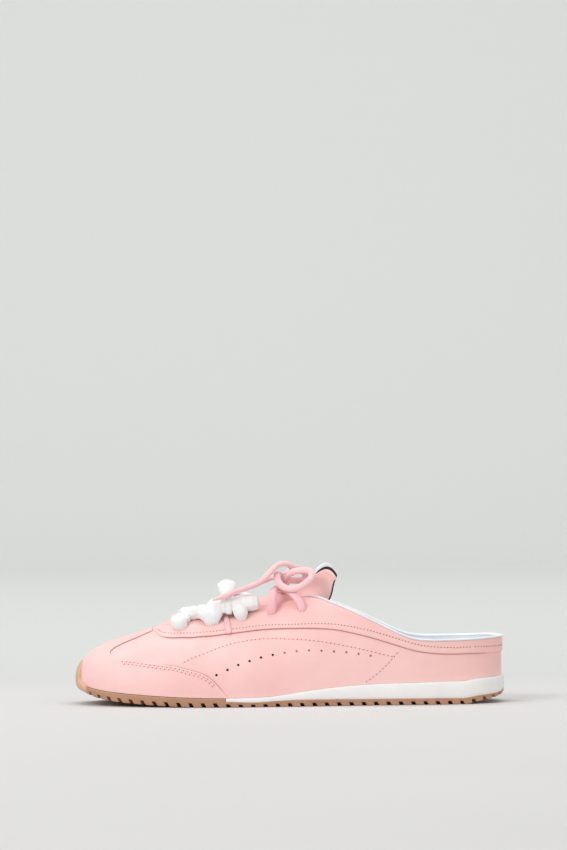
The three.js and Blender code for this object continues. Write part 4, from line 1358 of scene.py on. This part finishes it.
# White ribbon: each run as x, y, z, half width, half thickness
WHITE_RUNS = {
    "first": table(
        [-65.9, -15.6, 46.2, 1.6, 1.4], [-66.8, -18.6, 48.2, 3.4, 2.6], [-68.6, -18.8, 51.0, 5.3, 4.4],
        [-69.0, -14.5, 53.2, 5.3, 3.6], [-69.2, -6, 53.8, 4.6, 2.3], [-68.8, 4, 53.8, 4.5, 2.1],
        [-68, 14, 52.4, 4.9, 2.8], [-67, 20.5, 50.6, 5.2, 3.9], [-66.2, 24.6, 48.6, 3.2, 2.6],
        [-65.9, 22.6, 46.8, 1.6, 1.4]),
    "bar": table(
        [-48.4, -18.3, 48.3, 1.5, 1.4], [-49.2, -20.8, 51.4, 3.6, 2.6], [-51.2, -19.6, 55.4, 4.8, 3.6],
        [-54.4, -16, 57.6, 5.0, 4.6], [-57.4, -13, 57.0, 4.2, 3.8], [-60.4, -11, 56.8, 4.8, 4.4],
        [-63.0, -6, 57.0, 4.4, 3.4], [-64.4, 4, 57.2, 4.2, 2.8], [-65.2, 15, 55.8, 4.4, 2.9],
        [-65.8, 21.5, 52.6, 4.4, 3.0], [-65.9, 23.6, 48.2, 1.6, 1.4]),
    "fan": table(
        [-47.6, -18.2, 48.3, 1.4, 1.3], [-47.6, -20.9, 51.6, 3.0, 2.2], [-47.3, -20.4, 56.0, 4.9, 3.0],
        [-46.8, -17.0, 60.2, 5.7, 3.4], [-45.2, -10, 63.0, 5.2, 3.0], [-41.6, -1, 64.0, 4.6, 2.8],
        [-37.2, 8, 63.2, 4.6, 3.0], [-33.2, 16, 60.6, 4.8, 3.2], [-30.8, 21.2, 56.4, 4.4, 2.8],
        [-30.3, 21.6, 52.2, 1.6, 1.4]),
    "hang": table(
        [-30.3, -17.6, 51.2, 1.4, 1.3], [-30.4, -20.6, 53.6, 3.0, 2.6], [-31.0, -21.0, 57.0, 4.4, 3.6],
        [-31.8, -18.8, 60.6, 4.3, 3.4], [-31.6, -15.5, 63.4, 3.6, 3.0]),
    "roll": table(
        [-36.6, -15.4, 61.8, 2.2, 2.0], [-36.0, -15.6, 62.0, 4.0, 3.8], [-34.0, -15.7, 62.3, 5.0, 4.8],
        [-30.4, -15.8, 62.8, 5.0, 4.8], [-26.4, -15.8, 63.2, 5.5, 5.3], [-22.8, -15.6, 63.3, 5.2, 5.0],
        [-20.6, -15.4, 63.3, 4.3, 4.2], [-19.6, -15.3, 63.3, 2.2, 2.1]),
    "cross": table(
        [-24.6, -13.0, 63.4, 2.4, 2.0], [-26.4, -8, 65.6, 3.8, 2.6], [-30.0, 0, 66.6, 4.4, 2.8],
        [-36.0, 8, 65.2, 4.6, 2.8], [-41.6, 15, 61.4, 4.6, 2.8], [-45.6, 20.6, 56.6, 4.6, 2.8],
        [-47.7, 24.4, 50.4, 1.6, 1.4]),
    "puff": table(
        [-38.3, -20.2, 56.4, 1.8, 1.6], [-38.3, -19.4, 58.4, 2.3, 2.0], [-38.4, -17.6, 63.0, 2.6, 2.2],
        [-38.8, -13.4, 68.0, 4.2, 3.2], [-39.0, -7.6, 71.8, 5.8, 4.3], [-39.2, -1.4, 72.8, 6.0, 4.4],
        [-39.0, 5.0, 71.0, 5.4, 4.0], [-38.0, 10.6, 66.4, 4.0, 3.0], [-36.8, 14.6, 61.0, 2.4, 2.0]),
    "strip": table(
        [-41.2, -20.4, 57.0, 1.2, 1.1], [-41.2, -19.4, 59.4, 1.9, 1.7], [-41.2, -17.0, 64.0, 2.1, 1.8],
        [-41.0, -12.0, 67.0, 2.0, 1.8]),
    "return": table(
        [-65.9, -14.0, 48.4, 1.4, 1.3], [-65.6, -14.4, 52.4, 3.2, 2.3], [-63.6, -8.4, 56.0, 3.8, 2.3],
        [-59.0, -1, 57.6, 3.8, 2.2], [-54.6, 6, 58.4, 3.8, 2.3], [-51.0, 13, 57.6, 4.2, 2.6],
        [-48.4, 20, 54.4, 4.2, 2.8], [-47.7, 24.0, 50.0, 1.6, 1.4]),
}


# Lines along the shoe that the runs wrap round
RIBBON_AXIS = np.array([0, 3, 34])
LACE_AXIS = np.array([0, 0, 48])


def gathered(count, folds, phase, depth):
    """Folds of a ribbon, tightest at its ends."""
    def shape(i, turn):
        end = np.minimum(i, count - 1 - i) / (0.22 * count)
        tight = 0.35 + 0.65 * np.clip(1 - end, 0, 1)
        waves = np.cos(folds * turn + phase + 0.05 * i)
        waves = waves + 0.5 * np.cos((folds + 2) * turn - phase + 0.11 * i)
        return 1 + depth * tight * waves + 0.02 * np.sin(0.5 * i + phase)
    return shape


def make_white_lace():
    parts = []
    for number, rows in enumerate(WHITE_RUNS.values()):
        smooth = spline(rows, 12)
        path = smooth[:, :3]
        up = unit((path - RIBBON_AXIS) * [0, 1, 1])
        half = np.maximum(smooth[:, 3:5], 0.9)
        shape = gathered(len(path), 6 + number % 2, 1.3 * number, 0.075)
        parts.append(tube(path, up, half[:, 0], half[:, 1], 40, shape))
    ribbon = add_mesh("white_ribbon_lace", *joined(parts), [WHITE_LACE])
    finish_piece(ribbon, "white_ribbon", "white_lace")


# Pink cord through the two upper pairs of eyelets: each run as x, y, z, half width
PINK_RUNS = [
    [[-12.1, -16.4, 53.6, 2.2], [-12.0, -20.4, 56.6, 2.6], [-11.8, -21.2, 60.4, 2.8],
     [-11.5, -19.6, 66.0, 2.8], [-10.6, -15.4, 70.0, 2.4], [-8.2, -8, 71.6, 2.2], [-4.2, 1, 71.0, 2.2],
     [1.0, 11, 69.4, 2.2], [5.0, 18, 65.4, 2.2], [6.9, 21.6, 61.4, 2.2], [6.7, 18.4, 56.6, 2.0]],
    [[6.2, -20.4, 56.0, 2.3], [6.9, -24.4, 58.6, 2.4], [6.6, -24.4, 61.8, 2.4], [4.2, -22.0, 65.8, 2.3],
     [1.0, -17.6, 69.0, 2.3], [-1.6, -10, 70.4, 2.2], [-4.4, -1, 70.2, 2.2], [-8.0, 9, 68.6, 2.2],
     [-11.2, 17, 63.6, 2.2], [-12.3, 20.6, 59.2, 2.2], [-12.1, 17.6, 54.0, 2.0]],
]
# Flat strip lying on the eyestay: x, z, half width, half thickness
PINK_STRIP = table(
    [-38.2, 43.8, 0.9, 0.4], [-38.5, 45.4, 1.7, 0.6], [-39.1, 49.0, 1.8, 0.6], [-39.8, 52.0, 1.6, 0.8],
    [-40.0, 55.6, 1.4, 0.8],
)


def make_pink_lace():
    parts = []
    for points in PINK_RUNS:
        smooth = spline(points, 9)
        path = smooth[:, :3]
        up = unit((path - LACE_AXIS) * [0, 1, 1])
        parts.append(tube(path, up, smooth[:, 3], 0.84 * CORD_DIAMETER / 2, 20, two_lobes))
    smooth = spline(PINK_STRIP, 8)
    loop, rise = find_on_last(-1.0, smooth[:, 0], "z", smooth[:, 1])
    path = on_last(loop, rise, band_face(loop, rise) + 0.6)
    parts.append(tube(path, last_normal(loop, rise), smooth[:, 2], smooth[:, 3], 12))
    cord = add_mesh("pink_cord_lace", *joined(parts), [PINK_LACE])
    finish_piece(cord, "pink_cord", "pink_lace")


# Stitching: needle holes, width of a thread, and pitch and length of each row's stitches
NEEDLE_RADIUS = 0.4
THREAD_WIDTH = 0.42
HEEL_THREAD_WIDTH = 0.36
ARC_STITCH = (2.6, 1.4)
DIAGONAL_STITCH = (2.6, 1.3)
WING_STITCH = (2.7, 1.3)
BAND_STITCH = (2.05, 1.0)
HEEL_STITCH = (2.05, 1.1)
# The wing's two rows: distance from its edge, start in stitches
WING_ROWS = table([-1.4, 0.6], [-2.8, 1.1])


class Stitches:
    """Threads and needle holes: each stitch a short thread lying between two holes."""

    def __init__(self):
        self.threads = []
        self.holes = []

    def row(self, line, side, face, stitches, start=0.6):
        """line: x and z of the row, seen from one side; face: how far the leather stands off the last."""
        loop, rise = find_on_layer(side, line, 0.0 if face is bare_face else 1.0)
        self.along_places(loop, rise, face, stitches, THREAD_WIDTH, start)

    def along_places(self, loop, rise, face, stitches, width, start=0.6):
        pitch, length = stitches
        points = on_last(loop, rise, face(loop, rise) + 0.05 + crease(last_point(loop, rise)))
        normals = last_normal(loop, rise)
        travelled = travel(points)

        def at(rows, where):
            return np.array([np.interp(where, travelled, rows[:, k]) for k in range(3)])

        for s in np.arange(pitch * start, travelled[-1] - pitch * 0.5, pitch):
            first, last = at(points, s - length / 2), at(points, s + length / 2)
            normal = unit(at(normals, s))
            self.threads.append(stitch(first, last, normal, width))
            self.holes.append(needle_hole_shade(at(points, s + pitch / 2), normal, last - first))


def stitch(first, last, normal, width):
    share = np.array([0, 0.12, 0.5, 0.88, 1])
    size = np.array([0.35, 0.85, 1, 0.85, 0.35]) * width / 2
    sink = np.array([-0.2, -0.08, 0.0, -0.08, -0.2])
    path = first + (last - first) * share[:, None] + normal * sink[:, None]
    return tube(path, normal, size, size, 6)


def ring_about(centre, direction, across, radius, count):
    turns = np.linspace(0, 2 * np.pi, count, endpoint=False)[:, None]
    return centre + radius * (np.cos(turns) * direction + np.sin(turns) * across)


# A dark disc standing just proud of the leather at each needle hole: painted shade
def needle_hole_shade(centre, normal, direction):
    direction = unit(direction)
    ring = ring_about(centre, direction, unit(np.cross(normal, direction)), NEEDLE_RADIUS, 8)
    return prism(ring - normal * 0.25, ring + normal * 0.06)


# Rows on the quarter, as x and z seen from the side: arc, diagonal and punched holes
ARC_ROW = table(
    [-68.8, 26.5], [-61.5, 30.0], [-52.3, 33.5], [-41.4, 37.3], [-30.4, 40.0], [-15.8, 41.6],
    [-1.2, 41.3], [11.7, 40.5], [29.9, 37.6], [48.2, 33.6], [57.3, 31.2], [64.6, 29.5],
)
DIAGONAL_ROW = table([67.3, 34.2], [61.0, 26.9], [53.6, 19.8], [44.4, 13.2])
HOLE_ROW = table(
    [-46.5, 19.9], [-39.7, 23.0], [-33.0, 26.0], [-26.0, 28.2], [-18.9, 30.3], [-11.6, 31.8],
    [-4.3, 33.0], [3.2, 33.9], [10.9, 34.3], [18.6, 34.0], [26.4, 33.5], [34.0, 33.0],
    [41.6, 31.9], [49.1, 30.7],
)
# Holes of the row that show dark, with painted shade on their walls and floors; the rest are backed by
# leather, painted a paler shade
OPEN_HOLES = 6
HEEL_ROW_START = 112
HEEL_ROW_RISE = 4.0


def resample(line, step=1.0):
    travelled = travel(line)
    at = np.arange(0, travelled[-1], step)
    return np.column_stack([np.interp(at, travelled, line[:, k]) for k in range(line.shape[1])])


def offset_line(line, distance):
    tangent = unit(np.gradient(line, axis=0))
    return line + np.column_stack([-tangent[:, 1], tangent[:, 0]]) * distance


def heel_row(share):
    return INSTEP_HEIGHT * along(EYESTAY, 1, share) + HEEL_ROW_RISE


def make_stitches():
    rows = Stitches()
    wing = smooth_line(TOE_EDGE[8:])
    band = smooth_line(EYESTAY[2:])
    for side in (-1.0, 1.0):
        rows.row(resample(spline(ARC_ROW, 10)), side, bare_face, ARC_STITCH)
        rows.row(resample(spline(DIAGONAL_ROW, 10)), side, bare_face, DIAGONAL_STITCH)
        for distance, start in WING_ROWS:
            line = resample(offset_line(wing, distance))
            rows.row(line[line[:, 1] > 12], side, toe_face, WING_STITCH, start)
        rise = 2.0 + 2.0 * soft_step(band[:, 0], -10, 60)
        line = resample(offset_line(band, rise[:, None]))
        line = line[(line[:, 0] < HEEL_ROW_START) & (line[:, 0] > -84)]
        rows.row(line, side, band_face, BAND_STITCH)
    loop, rise = round_heel(HEEL_ROW_START, heel_row, np.linspace(0.45, 1, 300), 300)
    rows.along_places(loop, rise, band_face, HEEL_STITCH, HEEL_THREAD_WIDTH)
    shades = [shade for side in (-1.0, 1.0) for shade in seam_shades(side)]
    for name, parts, material in (
        ("stitch_threads", rows.threads, THREAD),
        ("needle_hole_shades", rows.holes, NEEDLE_HOLE_SHADE),
        ("seam_shades", shades, SHADE),
    ):
        finish_piece(add_mesh(name, *joined(parts), [material]), "pink_leather")


def seam_shades(side):
    """Thin dark lines in the gap at the foot of each layer's edge."""
    for rows in (TOE_EDGE[1:8], TOE_EDGE[11:], EYESTAY[3:-1]):
        line = resample(smooth_line(rows))
        line = line[(line[:, 0] < 122) & (line[:, 1] > 10)]
        loop, rise = find_on_layer(side, line, 1.0)
        path = on_last(loop, rise, 0.3 + crease(last_point(loop, rise)))
        count = np.arange(len(path))
        size = 0.1 + 0.18 * np.clip(np.minimum(count, count[::-1]) / 5, 0, 1)
        yield tube(path, last_normal(loop, rise), size, size * 1.2, 6)


# Punched holes
def places_on(side, x, z):
    return list(zip(*find_on_last(side, x, "z", z)))


def hole_cutter(name, places, radius, inner, outer, material):
    parts = []
    for loop, rise in places:
        loop, rise = np.array([loop]), np.array([rise])
        centre = last_point(loop, rise)[0]
        normal = last_normal(loop, rise)[0]
        side = unit(np.cross(normal, [1.0, 0, 0.2]))
        ring = ring_about(centre, side, np.cross(normal, side), radius, 16)
        parts.append(prism(ring + normal * inner, ring + normal * outer))
    return add_mesh(name, *joined(parts), [material])


def cut(piece, cutter):
    modifier = piece.modifiers.new("cut", "BOOLEAN")
    modifier.operation = "DIFFERENCE"
    modifier.solver = "MANIFOLD"
    modifier.object = cutter
    modifier.material_mode = "TRANSFER"
    bpy.context.view_layer.update()
    depsgraph = bpy.context.evaluated_depsgraph_get()
    mesh = bpy.data.meshes.new_from_object(piece.evaluated_get(depsgraph), depsgraph=depsgraph)
    piece.modifiers.remove(modifier)
    if len(mesh.polygons) > len(piece.data.polygons) // 2:
        old = piece.data
        piece.data = mesh
        bpy.data.meshes.remove(old)
        mesh.set_sharp_from_angle(angle=math.radians(40))
    bpy.data.objects.remove(cutter)


def build_upper():
    upper = make_upper()
    eyestay = make_eyestay()
    open_holes, backed_holes, eyelets = [], [], []
    for side in (-1.0, 1.0):
        row = places_on(side, HOLE_ROW[:, 0], HOLE_ROW[:, 1])
        open_holes += row[:OPEN_HOLES]
        backed_holes += row[OPEN_HOLES:]
        eyelets += places_on(side, plan_x(EYELETS[:, 0]), EYELETS[:, 1] * INSTEP_HEIGHT)
    # The cut faces take the cutters' dark colours: painted shade in the holes
    cut(upper, hole_cutter("punch", open_holes, 0.8, -1.2, 2.0, HOLE_SHADE))
    cut(upper, hole_cutter("backed_punch", backed_holes, 0.7, -0.45, 2.0, BACKED_HOLE_SHADE))
    cut(upper, hole_cutter("eyelet_punch", eyelets, EYELET_DIAMETER / 2, -4.0, 5.0, HOLE_SHADE))
    cut(eyestay, hole_cutter("band_punch", eyelets, EYELET_DIAMETER / 2, -3.0, 5.0, HOLE_SHADE))
    finish_piece(upper, "pink_leather", "upper")
    finish_piece(eyestay, "pink_leather", "eyestay_band")
    finish_piece(make_toe_overlay(), "pink_leather", "toe_overlay")
    finish_piece(make_binding(), "white_binding", "collar_binding")


build_upper()
make_tongue()
finish_piece(make_outsole(), "gum_rubber", "outsole")
finish_piece(make_tread(), "gum_rubber", "outsole")
finish_piece(make_guard(), "gum_rubber", "outsole")
finish_piece(make_midsole(), "white_foam", "midsole")
finish_piece(make_insole(), "white_lining", "insole")
make_white_lace()
make_pink_lace()
make_stitches()


# Floor and light
def make_stage():
    profile = [[-6, 0.0], [-1, 0.0], [0, 0.0]]
    profile += [[1.2 + 0.9 * t, 0.0] for t in np.linspace(0, 1, 40)]
    for t in np.linspace(0, math.pi / 2, 60):
        profile.append([2.1 + 1.2 * math.sin(t), 1.2 - 1.2 * math.cos(t)])
    profile.append([3.3, 6.0])
    points = [[x / MM, y / MM, z / MM - 0.02] for x in (-8, 8) for y, z in profile]
    faces = [face[::-1] for face in grid_faces(2, len(profile))]
    nodes = Nodes("studio_floor", 0.75, specular=0.2)
    place = nodes.add("ShaderNodeSeparateXYZ")
    nodes.link(nodes.coordinates, place.inputs[0])
    # Painted falloff of light: the floor is painted a little darker from 0.1 m behind the shoe onwards, so
    # the lit area by the shoe shows lighter
    far = nodes.range(place.outputs["Y"], 0.1, 0.26, 0.0, 1.0)
    near = nodes.ramp(nodes.noise(3, 2), [(0.3, srgb(212, 211, 209)), (0.7, srgb(214, 213, 211))])
    nodes.color(nodes.mix(near, srgb(206, 207, 204), far))
    nodes.bump([(nodes.noise(200, 2), 0.05, 0.1)])
    add_mesh("studio_floor", points, faces, [nodes.material])


def add_light(name, place, target, size, power, color=(1, 1, 1)):
    data = bpy.data.lights.new(name, "AREA")
    data.shape = "RECTANGLE"
    data.size, data.size_y = size
    data.energy = power
    data.color = color
    light = bpy.data.objects.new(name, data)
    light.location = place
    light.rotation_euler = (Vector(target) - Vector(place)).to_track_quat("-Z", "Y").to_euler()
    bpy.context.scene.collection.objects.link(light)


def make_lights():
    add_light("key", (-1.9, -1.7, 1.8), (0, 0, 0.03), (1.6, 1.5), 40)
    add_light("top", (-0.1, 0.2, 2.6), (0, 0, 0), (2.0, 2.0), 17)
    add_light("fill", (1.8, -2.0, 0.9), (0, 0, 0.04), (1.6, 1.4), 12, (1, 0.96, 0.93))
    add_light("backdrop", (0, 0.9, 2.6), (0, 3.0, 0.4), (5.0, 1.0), 50)
    world = bpy.data.worlds.new("studio")
    world.use_nodes = True
    background = world.node_tree.nodes["Background"]
    background.inputs["Color"].default_value = (0.97, 0.98, 1.0, 1)
    background.inputs["Strength"].default_value = 0.54
    bpy.context.scene.world = world
    bpy.context.scene.view_settings.view_transform = "Standard"


make_stage()
make_lights()
